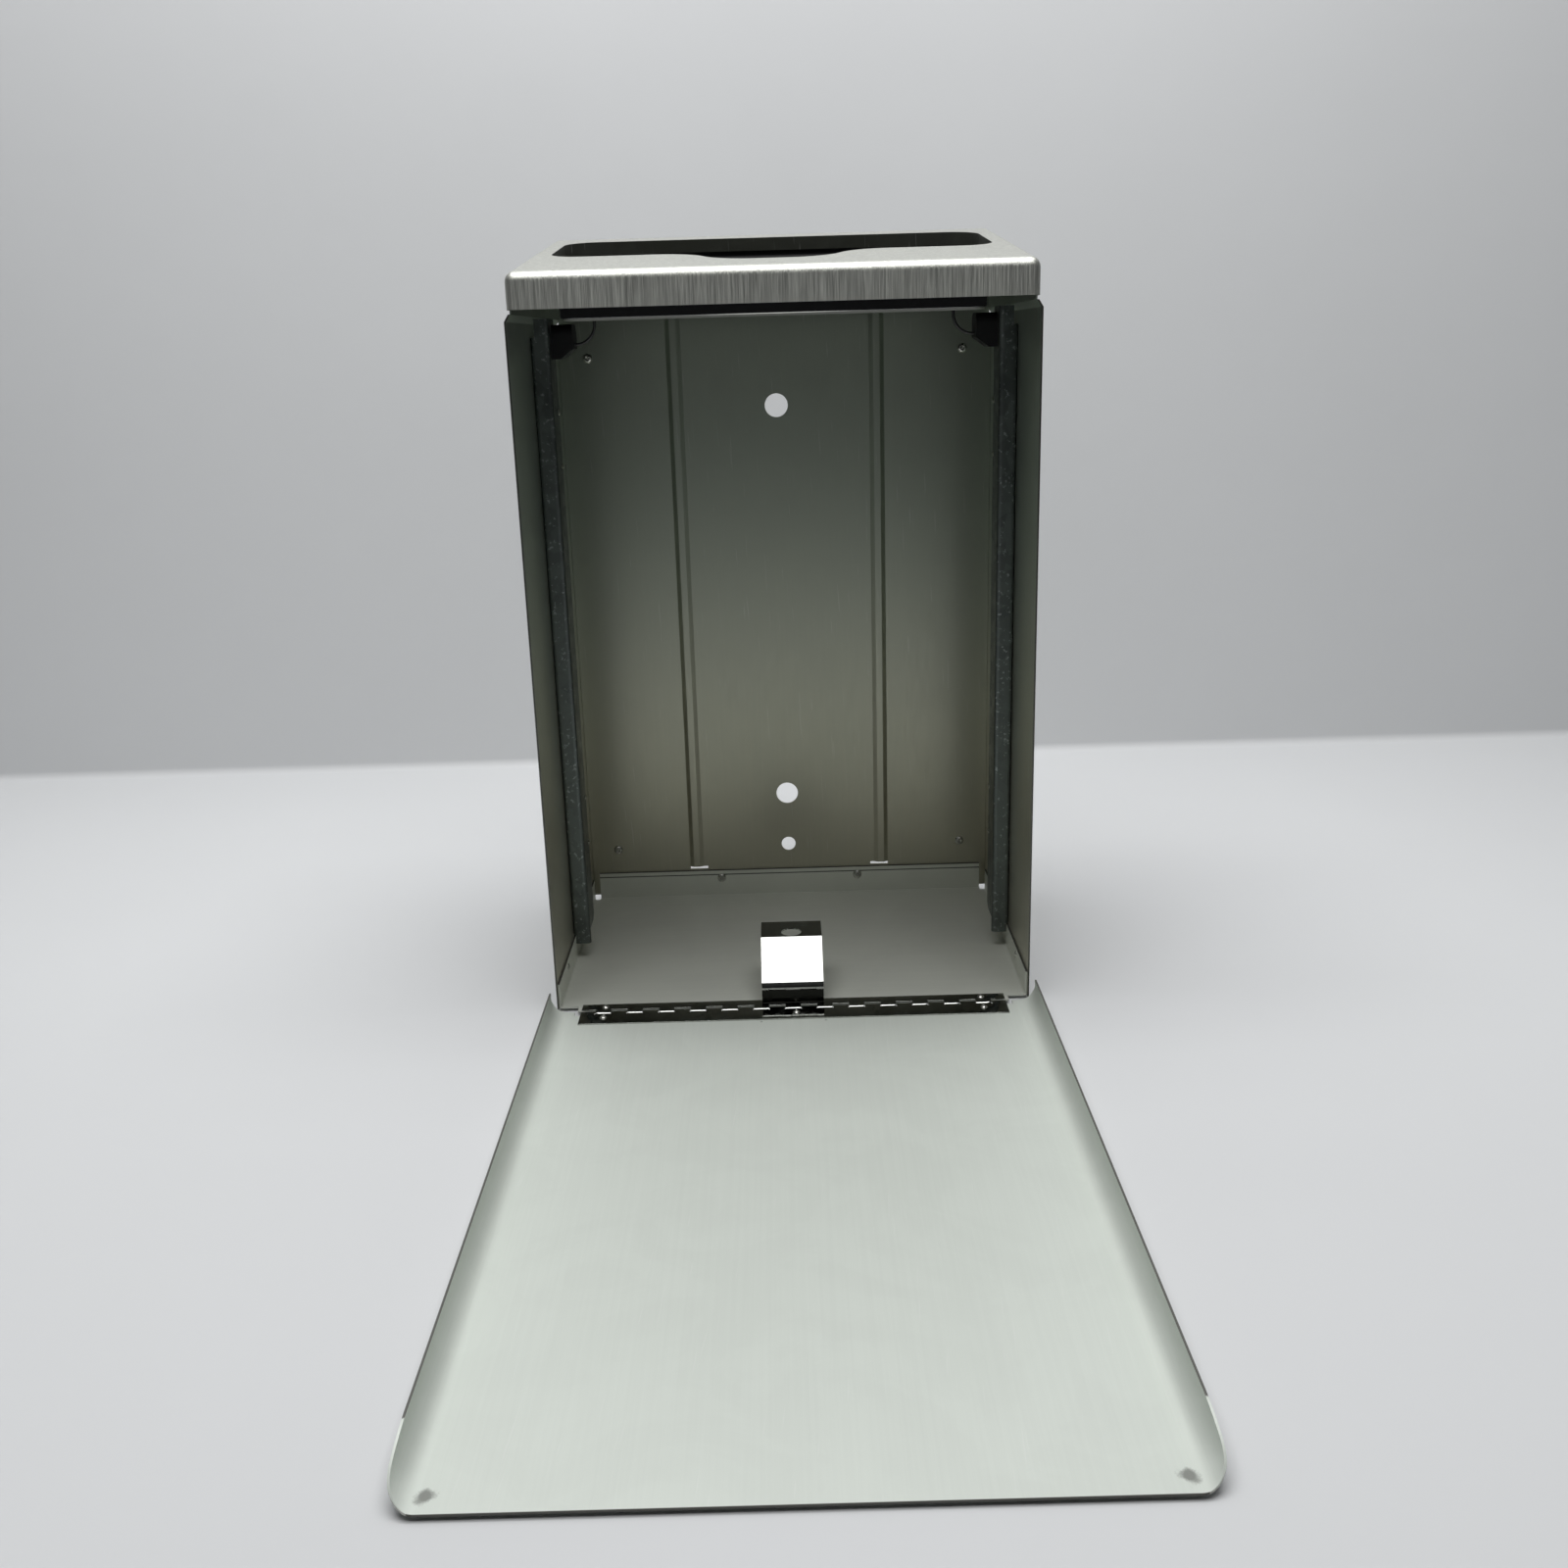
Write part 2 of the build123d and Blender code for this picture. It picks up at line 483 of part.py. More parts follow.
def door_panel():
    """Door tray: plate with large-radius side flanges that run out at the free edge."""
    mid = DOOR_HALF - SHEET / 2
    foot = mid + DOOR_LEAN
    line = FilletPolyline((-mid, DOOR_FLANGE), (-foot, SHEET / 2), (foot, SHEET / 2), (mid, DOOR_FLANGE),
                          radius=DOOR_BEND)
    length = DOOR_REACH + DOOR_FLANGE_BACK
    tray = extrude(Plane.XZ * trace(line, SHEET), length)
    door = Pos(0, DOOR_FLANGE_BACK, 0) * tray
    plan = Pos(0, DOOR_FLANGE_BACK - length / 2) * Rectangle(2 * DOOR_WIDEST, length)
    plan = fillet(plan.vertices().group_by(Axis.Y)[0], DOOR_CORNER)
    door &= extrude(plan, DOOR_FLANGE)
    sweep_y = -DOOR_REACH + math.sqrt(DOOR_SWEEP ** 2 - (DOOR_SWEEP - DOOR_FLANGE + SHEET) ** 2)
    run_out = span(-HALF - 5, HALF + 5, -DOOR_REACH - 1, sweep_y, SHEET, DOOR_FLANGE + 1)
    run_out -= rod((-HALF - 5, sweep_y, DOOR_FLANGE - DOOR_SWEEP), (1, 0, 0), DOOR_SWEEP, WIDTH + 10)
    door -= run_out
    plate_back = PIN_Y - KNUCKLE_R - WINDOW
    door -= span(-HINGE_HALF - 4, HINGE_HALF + 4, plate_back, DOOR_FLANGE_BACK + 1, -1, DOOR_FLANGE + 1)
    slope = DOOR_HEEL + [(FRONT, DOOR_HEEL[-1][1]), (FRONT, DOOR_HEEL[0][1])]
    door -= side_outline(slope, -HALF - 5, HALF + 5)
    for x, y in DOOR_LEAF_RIVETS:
        door -= rivet_hole((x, y, 0), (0, 0, 1))
    return door


def floor_clip():
    """Bent strip on the hinge's body leaf: foot, riser with a ridge, ramp and pierced flange."""
    foot_z = SHEET + LEAF + LEAF / 2
    line = FilletPolyline((BODY_LEAF_BACK, foot_z), (FRONT - 3.4, foot_z), (FRONT - 2.3, CLIP_RIDGE - 1.8),
                          (FRONT - 3.5, CLIP_RIDGE), CLIP_RAMP_FOOT, (CLIP_RAMP_HEAD, CLIP_TOP),
                          (CLIP_BACK, CLIP_TOP), radius=0.9)
    strip = extrude(Plane.YZ * trace(line, LEAF), CLIP_HALF, both=True)
    strip -= rod((0, CLIP_HOLE_Y, 30), (0, 0, 1), CLIP_HOLE_R, 12)
    x, y = CLIP_RIVET
    return strip - rod((x, y, 0), (0, 0, 1), RIVET_HOLE_R, 8)


def back_panel_rivets():
    return [rivet((x, PANEL_FACE, z), (0, 1, 0), 2 * SHEET, tail=0) for x, z in BACK_RIVETS]


def hood_rivets():
    return [rivet((x, PANEL_FACE, z), (0, 1, 0), 2 * SHEET, tail=0) for x, z in HOOD_RIVETS]


def pan_back_rivets():
    face = PANEL_FACE - PAN_GAP - SHEET
    return [rivet((x, face, z), (0, 1, 0), 2 * SHEET + PAN_GAP) for x, z in PAN_BACK_RIVETS]


def pan_side_rivets():
    face = HALF - 2 * SHEET - PAN_GAP
    right = rivet((face, *PAN_SIDE_RIVET), (1, 0, 0), 2 * SHEET + PAN_GAP, SMALL_HEAD_R, SMALL_HEAD_RISE, 0)
    return [right, mirrored(right)]


def leaf_rivets(places):
    top = SHEET + LEAF
    return [rivet((x, y, top), (0, 0, -1), top, SMALL_HEAD_R, SMALL_HEAD_RISE, 0) for x, y in places]


def clip_rivet():
    top = SHEET + 2 * LEAF
    return [rivet((*CLIP_RIVET, top), (0, 0, -1), top, SMALL_HEAD_R, SMALL_HEAD_RISE, 0)]


def rail_buttons():
    return [rivet((RAIL_IN, BUTTON_Y, z), (1, 0, 0), SHEET, SMALL_HEAD_R, SMALL_HEAD_RISE)
            for z in BUTTON_HEIGHTS]


def block_rivet():
    head = (RAIL_IN + SHEET, *BLOCK_RIVET)
    return rivet(head, (-1, 0, 0), SHEET + 3.5, SMALL_HEAD_R, SMALL_HEAD_RISE, 0)


right_parts = {
    "side_wall": side_wall(),
    "rail": rail(),
    "pivot_block": pivot_block(),
    "flap_arm": flap_arm(),
    "flap_spring": flap_spring(),
}

nodes = {
    "back_panel": back_panel(),
    "bottom_pan": bottom_pan(),
    "hood": hood(),
    "drop_chute": drop_chute(),
    "drop_flap": drop_flap(),
    "door_panel": door_panel(),
    "hinge_body_leaf": hinge_body_leaf(),
    "hinge_door_leaf": hinge_door_leaf(),
    "hinge_pin": rod((-HINGE_HALF, PIN_Y, PIN_Z), (1, 0, 0), PIN_R, 2 * HINGE_HALF),
    "floor_clip": floor_clip(),
    "back_panel_rivets": Compound(children=back_panel_rivets()),
    "hood_rivets": Compound(children=hood_rivets()),
    "pan_back_rivets": Compound(children=pan_back_rivets()),
    "pan_side_rivets": Compound(children=pan_side_rivets()),
    "hinge_body_rivets": Compound(children=leaf_rivets(BODY_LEAF_RIVETS)),
    "hinge_door_rivets": Compound(children=leaf_rivets(DOOR_LEAF_RIVETS)),
    "clip_rivet": Compound(children=clip_rivet()),
    "rail_buttons_right": Compound(children=rail_buttons()),
    "rail_buttons_left": Compound(children=[mirrored(button) for button in rail_buttons()]),
    "pivot_block_rivets": Compound(children=[block_rivet(), mirrored(block_rivet())]),
}
for name, part in right_parts.items():
    nodes[name + "_right"] = part
    nodes[name + "_left"] = mirrored(part)

for name, part in nodes.items():
    export_step(part, f"parts/{name}.step")
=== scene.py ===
import math
from collections import namedtuple

import bmesh
import bpy
from bpy.props import FloatProperty, FloatVectorProperty, PointerProperty
from bpy.types import Operator, Panel, PropertyGroup
from mathutils import Matrix, Vector


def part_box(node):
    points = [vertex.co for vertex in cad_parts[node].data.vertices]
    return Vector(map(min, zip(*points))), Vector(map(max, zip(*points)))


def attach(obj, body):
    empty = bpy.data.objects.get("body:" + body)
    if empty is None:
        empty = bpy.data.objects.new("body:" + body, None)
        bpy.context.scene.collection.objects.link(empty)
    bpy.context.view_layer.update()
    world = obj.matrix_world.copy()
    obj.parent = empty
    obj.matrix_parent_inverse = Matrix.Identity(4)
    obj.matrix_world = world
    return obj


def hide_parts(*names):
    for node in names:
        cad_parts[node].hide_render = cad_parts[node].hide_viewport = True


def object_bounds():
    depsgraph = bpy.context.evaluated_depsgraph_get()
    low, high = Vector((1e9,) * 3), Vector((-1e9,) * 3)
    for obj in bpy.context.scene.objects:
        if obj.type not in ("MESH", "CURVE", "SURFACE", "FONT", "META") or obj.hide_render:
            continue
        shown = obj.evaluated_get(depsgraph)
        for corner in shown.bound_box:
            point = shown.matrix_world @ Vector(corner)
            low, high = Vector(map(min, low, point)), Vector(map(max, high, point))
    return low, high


bl_info = {
    "name": "Wall Drop Box",
    "version": (1, 0, 0),
    "blender": (4, 5, 0),
    "location": "3D Viewport > Sidebar > Drop Box",
    "description": "Finishes and small hardware for a wall-mounted sheet-steel drop box",
    "category": "Object",
}

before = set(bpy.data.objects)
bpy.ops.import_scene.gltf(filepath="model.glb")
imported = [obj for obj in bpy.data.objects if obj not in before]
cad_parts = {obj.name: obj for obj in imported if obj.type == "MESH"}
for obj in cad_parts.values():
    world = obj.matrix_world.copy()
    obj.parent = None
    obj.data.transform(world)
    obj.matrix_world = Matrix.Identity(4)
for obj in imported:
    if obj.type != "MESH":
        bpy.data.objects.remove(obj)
CAD_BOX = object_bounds()

MM = 0.001
SHEET = 1.0 * MM

GREASE = (0.30, 0.31, 0.29)
HAIRLINE = (0.75, 0.76, 0.74)
ZINC_SPECK = (0.45, 0.48, 0.48)
FINGERPRINT = (0.52, 0.53, 0.50)
# painted shade: near-black colour for the clip's riser, which lies in shade
RISER_SHADE = (0.02, 0.02, 0.018)
RIVET_DIRT = (0.25, 0.25, 0.23)
DUST = (0.10, 0.10, 0.095)


# ---------------------------------------------------------------------------
# Sizes and colours
# ---------------------------------------------------------------------------

def length(label, text, default):
    """A size in metres."""
    return FloatProperty(name=label, description=text, default=default, unit="LENGTH", precision=5)


def colour(label, text, default):
    """A colour in linear red, green and blue."""
    return FloatVectorProperty(name=label, description=text, default=default, subtype="COLOR", size=3,
                               min=0.0, max=1.0)


def share(label, text, default):
    """A value from 0 to 1."""
    return FloatProperty(name=label, description=text, default=default, subtype="FACTOR", min=0.0, max=1.0)


class DropBoxSteel(PropertyGroup):
    """Finishes of the sheet steel"""
    panel: colour("Back panel", "Dull mill sheet of the back panel", (0.44, 0.45, 0.39))
    casing: colour("Casing", "Dull mill sheet of the walls' inner faces", (0.54, 0.56, 0.50))
    pan: colour("Floor pan", "Satin sheet of the floor pan", (0.74, 0.76, 0.69))
    casing_rough: share("Casing roughness", "Roughness of the dull sheet", 0.34)
    outside: colour("Outside", "Brushed sheet on the outside of the walls and hood", (0.45, 0.455, 0.42))
    outside_rough: share("Outside roughness", "Roughness of the brushed sheet", 0.45)
    door: colour("Door", "Matt inner face of the door", (0.64, 0.68, 0.63))
    # painted shade: the hood's inner faces are coloured near-black for the shade inside the hood
    hood_inside_shade: colour("Hood inside shade", "Inner faces of the hood, painted dark as shade", (0.045, 0.048, 0.038))
    door_rough: share("Door roughness", "Roughness of the door's inner face", 0.50)
    pan_rise: length("Pan side rise", "Height of the floor pan's side flanges", 17 * MM)
    # painted shade: sheet edges are coloured dark, partly the sheared edge and partly shade; rubbed spots
    # use the same colour as real wear
    cut: colour("Edge shade and scuffs", "Sheared edges painted dark with shade, and rubbed spots", (0.10, 0.10, 0.09))
    grain_pitch: length("Grain pitch", "Distance between brushing lines", 0.35 * MM)
    grain_length: length("Grain length", "Typical length of one brushing line", 28 * MM)


class DropBoxHardware(PropertyGroup):
    """Finishes of the small hardware"""
    zinc: colour("Rails", "Dull galvanised guide rails", (0.12, 0.135, 0.13))
    polish: colour("Hinge and clip", "Mirror-polished strip", (0.46, 0.47, 0.45))
    rivet: colour("Rivets", "Bright rivet metal", (0.70, 0.70, 0.66))
    clip_ridge: length("Clip ridge", "Height of the kink across the clip's riser", 12.4 * MM)
    plastic: colour("Plastic", "Black moulding", (0.012, 0.012, 0.013))
    wire: colour("Wire", "Dark spring wire", (0.05, 0.05, 0.05))
    shank: length("Rivet shank", "Radius of a rivet's shank", 1.6 * MM)


class DropBoxHinge(PropertyGroup):
    """Sizes of the piano hinge's rolled leaves"""
    gauge: length("Leaf gauge", "Thickness of the leaf strip", 0.8 * MM)
    barrel: length("Barrel radius", "Outside radius of the rolled knuckles", 1.85 * MM)
    pitch: length("Knuckle pitch", "From one knuckle to the next of the same leaf", 20 * MM)
    knuckle: length("Knuckle length", "Length of one rolled knuckle", 9.6 * MM)
    slot: length("Slot", "Open slot between a leaf and the other leaf's knuckles", 1.4 * MM)
    softened: length("Softened edge", "Rounding of the sheared edges", 0.08 * MM)


class DropBoxStage(PropertyGroup):
    """Floor, backdrop, lights and camera"""
    paper: colour("Paper", "Floor and backdrop", (0.68, 0.69, 0.70))
    wall_gap: length("Wall gap", "Backdrop behind the casing", 0.39)
    sweep: length("Sweep radius", "Radius between floor and backdrop", 0.008)
    paper_reach: length("Paper reach", "Distance at which the paper has faded out", 2.8)
    ambient: share("Ambient", "Strength of the dim room light", 0.05)
    surround: share("Surround", "Brightness of the plain surround behind the paper", 0.52)
    lens: FloatProperty(name="Lens", description="Focal length", default=33.83, unit="CAMERA")
    eye: FloatVectorProperty(name="Eye", description="Camera position", default=(-0.0001, -0.9588, 0.4012),
                             subtype="TRANSLATION", unit="LENGTH")
    pan: FloatProperty(name="Pan", description="Camera turn to the left", default=0.002, unit="ROTATION")
    tilt: FloatProperty(name="Tilt", description="Camera turn downwards", default=0.289, unit="ROTATION")
    roll: FloatProperty(name="Roll", description="Camera roll", default=-0.029, unit="ROTATION")
    key_power: FloatProperty(name="Key light", description="Overhead softbox", default=29.0, unit="POWER")
    wash_power: FloatProperty(name="Wall wash", description="Backdrop light", default=8.0, unit="POWER")


# ---------------------------------------------------------------------------
# Node helpers
# ---------------------------------------------------------------------------

def put(tree, kind, feeds=(), **settings):
    """Adds a node, sets its properties, and feeds its inputs with values or sockets."""
    node = tree.nodes.new("ShaderNode" + kind)
    for key, value in settings.items():
        setattr(node, key, value)
    for key, feed in dict(feeds).items():
        if isinstance(feed, bpy.types.NodeSocket):
            tree.links.new(feed, node.inputs[key])
        else:
            node.inputs[key].default_value = feed
    return node


def calc(tree, operation, *values):
    """One arithmetic step on values or sockets."""
    node = put(tree, "Math", dict(enumerate(values)), operation=operation)
    return node.outputs[0]


def scaled(tree, vector, factor):
    """A vector times a vector, a colour or a number, part by part."""
    return put(tree, "VectorMath", {0: vector, 1: factor}, operation="MULTIPLY").outputs[0]


def remap(tree, value, low, high, to_low=0.0, to_high=1.0):
    """Eases a value from one range to another, held at both ends."""
    feeds = {"Value": value, "From Min": low, "From Max": high, "To Min": to_low, "To Max": to_high}
    return put(tree, "MapRange", feeds, interpolation_type="SMOOTHSTEP").outputs[0]


def mixed(tree, factor, first, second):
    """Mixes two colours."""
    return put(tree, "Mix", {0: factor, 6: first, 7: second}, data_type="RGBA").outputs[2]


def blended(tree, factor, first, second):
    """Mixes two values."""
    return put(tree, "Mix", {0: factor, 2: first, 3: second}, data_type="FLOAT").outputs[0]


def distance(tree, first, second):
    """How far one place is from another."""
    return put(tree, "VectorMath", {0: first, 1: second}, operation="DISTANCE").outputs[1]


def split(tree, vector):
    """A vector's three parts."""
    return put(tree, "SeparateXYZ", {0: vector}).outputs


def cloud(tree, vector, scale, detail=3.0, rough=0.55):
    """Soft random value that drifts from place to place."""
    feeds = {"Vector": vector, "Scale": scale, "Detail": detail, "Roughness": rough}
    return put(tree, "TexNoise", feeds).outputs[0]


def rgb(values):
    """A colour with full opacity."""
    return (*values, 1.0)


SOCKETS = {"value": "NodeSocketFloat", "vector": "NodeSocketVector", "colour": "NodeSocketColor"}


def effect(name, inputs, outputs):
    """Starts a shared effect: an empty node group with named inputs and outputs."""
    tree = bpy.data.node_groups.new(name, "ShaderNodeTree")
    for label, kind, default in inputs:
        socket = tree.interface.new_socket(label, in_out="INPUT", socket_type=SOCKETS[kind])
        socket.default_value = default
    for label, kind in outputs:
        tree.interface.new_socket(label, in_out="OUTPUT", socket_type=SOCKETS[kind])
    entry = tree.nodes.new("NodeGroupInput")
    end = tree.nodes.new("NodeGroupOutput")
    return tree, entry.outputs, end.inputs


def use(tree, name, **feeds):
    """Places a shared effect in a material."""
    node = tree.nodes.new("ShaderNodeGroup")
    node.node_tree = bpy.data.node_groups[name]
    for key, feed in feeds.items():
        socket = node.inputs[key.replace("_", " ")]
        if isinstance(feed, bpy.types.NodeSocket):
            tree.links.new(feed, socket)
        else:
            socket.default_value = feed
    return node.outputs


# ---------------------------------------------------------------------------
# Shared effects
# ---------------------------------------------------------------------------

def brushed_grain():
    """Long fine lines: Stretch holds the lines per metre along each axis."""
    tree, entry, end = effect("Brushed grain", [("Position", "vector", (0, 0, 0)),
                                                ("Stretch", "vector", (2800, 2800, 36))],
                              [("Lines", "value"), ("Bands", "value")])
    fine = cloud(tree, scaled(tree, entry["Position"], entry["Stretch"]), 1.0, 2.0, 0.6)
    coarse = scaled(tree, entry["Stretch"], (0.16, 0.16, 0.4))
    broad = cloud(tree, scaled(tree, entry["Position"], coarse), 1.0, 2.0, 0.5)
    tree.links.new(remap(tree, fine, 0.30, 0.70), end["Lines"])
    tree.links.new(remap(tree, broad, 0.30, 0.70), end["Bands"])


def handling_smudges():
    """Soft patches left by hands and cleaning."""
    tree, entry, end = effect("Handling smudges", [("Position", "vector", (0, 0, 0)),
                                                   ("Size", "value", 0.05),
                                                   ("Cover", "value", 0.4)], [("Mask", "value")])
    pitch = calc(tree, "DIVIDE", 1.0, entry["Size"])
    cells = put(tree, "TexNoise", {"Vector": entry["Position"], "Scale": pitch, "Detail": 4.0,
                                   "Roughness": 0.62, "Distortion": 1.2}).outputs[0]
    edge = calc(tree, "SUBTRACT", 0.85, calc(tree, "MULTIPLY", entry["Cover"], 0.6))
    tree.links.new(remap(tree, cells, calc(tree, "SUBTRACT", edge, 0.16), edge), end["Mask"])


def fine_scratches():
    """Sparse hairlines along one direction."""
    tree, entry, end = effect("Fine scratches", [("Position", "vector", (0, 0, 0)),
                                                 ("Stretch", "vector", (900, 900, 14))], [("Mask", "value")])
    swirl = put(tree, "VectorRotate", {"Vector": entry["Position"], "Axis": (0.3, 0.5, 0.8), "Angle": 0.09},
                rotation_type="AXIS_ANGLE").outputs[0]
    lines = cloud(tree, scaled(tree, swirl, entry["Stretch"]), 1.0, 1.0, 0.5)
    tree.links.new(remap(tree, lines, 0.70, 0.78), end["Mask"])


def zinc_mottle():
    """Dull galvanised skin: soft crystals with darker specks."""
    tree, entry, end = effect("Zinc mottle", [("Position", "vector", (0, 0, 0)),
                                              ("Crystal", "value", 0.006)],
                              [("Tone", "value"), ("Specks", "value"), ("Height", "value")])
    pitch = calc(tree, "DIVIDE", 1.0, entry["Crystal"])
    cells = put(tree, "TexVoronoi", {"Vector": entry["Position"], "Scale": pitch, "Randomness": 1.0})
    grey = put(tree, "SeparateColor", {0: cells.outputs["Color"]}).outputs[0]
    drift = cloud(tree, entry["Position"], calc(tree, "MULTIPLY", pitch, 0.4), 3.0)
    tone = calc(tree, "ADD", calc(tree, "MULTIPLY", grey, 0.5), calc(tree, "MULTIPLY", drift, 0.5))
    specks = cloud(tree, entry["Position"], calc(tree, "MULTIPLY", pitch, 3.0), 2.0)
    tree.links.new(tone, end["Tone"])
    tree.links.new(remap(tree, specks, 0.60, 0.72), end["Specks"])
    tree.links.new(drift, end["Height"])


def edge_band():
    """Mask round one value of a coordinate, such as a sheet edge that is painted dark, partly as the edge
    itself and partly as shade.
    """
    tree, entry, end = effect("Edge band", [("Coordinate", "value", 0.0), ("Edge", "value", 0.0),
                                            ("Width", "value", 0.001)], [("Mask", "value")])
    away = calc(tree, "ABSOLUTE", calc(tree, "SUBTRACT", entry["Coordinate"], entry["Edge"]))
    near = remap(tree, away, calc(tree, "MULTIPLY", entry["Width"], 0.6), entry["Width"], 1.0, 0.0)
    tree.links.new(near, end["Mask"])


def scuff_spot():
    """Rubbed patch round one place, broken up at its rim."""
    tree, entry, end = effect("Scuff spot", [("Position", "vector", (0, 0, 0)),
                                             ("Centre", "vector", (0, 0, 0)),
                                             ("Radius", "value", 0.01)], [("Mask", "value")])
    away = distance(tree, entry["Position"], entry["Centre"])
    ragged = calc(tree, "MULTIPLY", cloud(tree, entry["Position"], 260.0, 5.0, 0.7), 1.9)
    reach = calc(tree, "MULTIPLY", entry["Radius"], ragged)
    tree.links.new(remap(tree, calc(tree, "DIVIDE", away, reach), 0.35, 1.0, 1.0, 0.0), end["Mask"])


def settled_dust():
    """Pale dust on faces that look up, thicker in soft patches."""
    tree, entry, end = effect("Settled dust", [("Position", "vector", (0, 0, 0)),
                                               ("Normal", "vector", (0, 0, 1)),
                                               ("Cover", "value", 0.3)], [("Mask", "value")])
    up = remap(tree, split(tree, entry["Normal"])[2], 0.5, 1.0)
    patches = remap(tree, cloud(tree, entry["Position"], 22.0, 6.0, 0.7), 0.35, 0.75)
    tree.links.new(calc(tree, "MULTIPLY", calc(tree, "MULTIPLY", up, patches), entry["Cover"]), end["Mask"])


def moulded_skin():
    """Fine spark-eroded texture of a moulding."""
    tree, entry, end = effect("Moulded skin", [("Position", "vector", (0, 0, 0)),
                                               ("Pitch", "value", 0.0006)],
                              [("Height", "value"), ("Sheen", "value")])
    pitch = calc(tree, "DIVIDE", 1.0, entry["Pitch"])
    tree.links.new(cloud(tree, entry["Position"], pitch, 2.0), end["Height"])
    tree.links.new(cloud(tree, entry["Position"], 35.0, 4.0), end["Sheen"])


# ---------------------------------------------------------------------------
# Materials
# ---------------------------------------------------------------------------

def blank(name):
    """A new material's node tree, its shader, and the places and normals of the piece."""
    material = bpy.data.materials.new(name)
    material.use_nodes = True
    tree = material.node_tree
    place = put(tree, "TexCoord").outputs
    return material, tree, tree.nodes["Principled BSDF"], place


def bumped(tree, shader, height, strength, depth):
    """Gives a shader fine relief, depth metres from its lowest to its highest."""
    node = put(tree, "Bump", {"Height": height, "Strength": strength, "Distance": depth})
    tree.links.new(node.outputs[0], shader.inputs["Normal"])


def outward(tree, place, lift):
    """1 on faces that look out of the box, 0 on faces that look in; lift weighs up against sideways."""
    x, _, z = split(tree, place["Normal"])
    side = calc(tree, "SIGN", split(tree, place["Object"])[0])
    lean = calc(tree, "ADD", calc(tree, "MULTIPLY", x, side), calc(tree, "MULTIPLY", z, lift))
    return calc(tree, "GREATER_THAN", lean, 0.05)


# How a sheet's colour is multiplied at the foot and at the head of the panel; the darker, cooler head of the
# second pair is painted shade from the hood above.
PLAIN_TONES = ((1, 1, 1), (1, 1, 1))
HOOD_SHADE_TONES = ((1.04, 0.98, 0.92), (0.84, 0.91, 0.88))
PANEL_FOOT = 20 * MM
PANEL_HEAD = 360 * MM


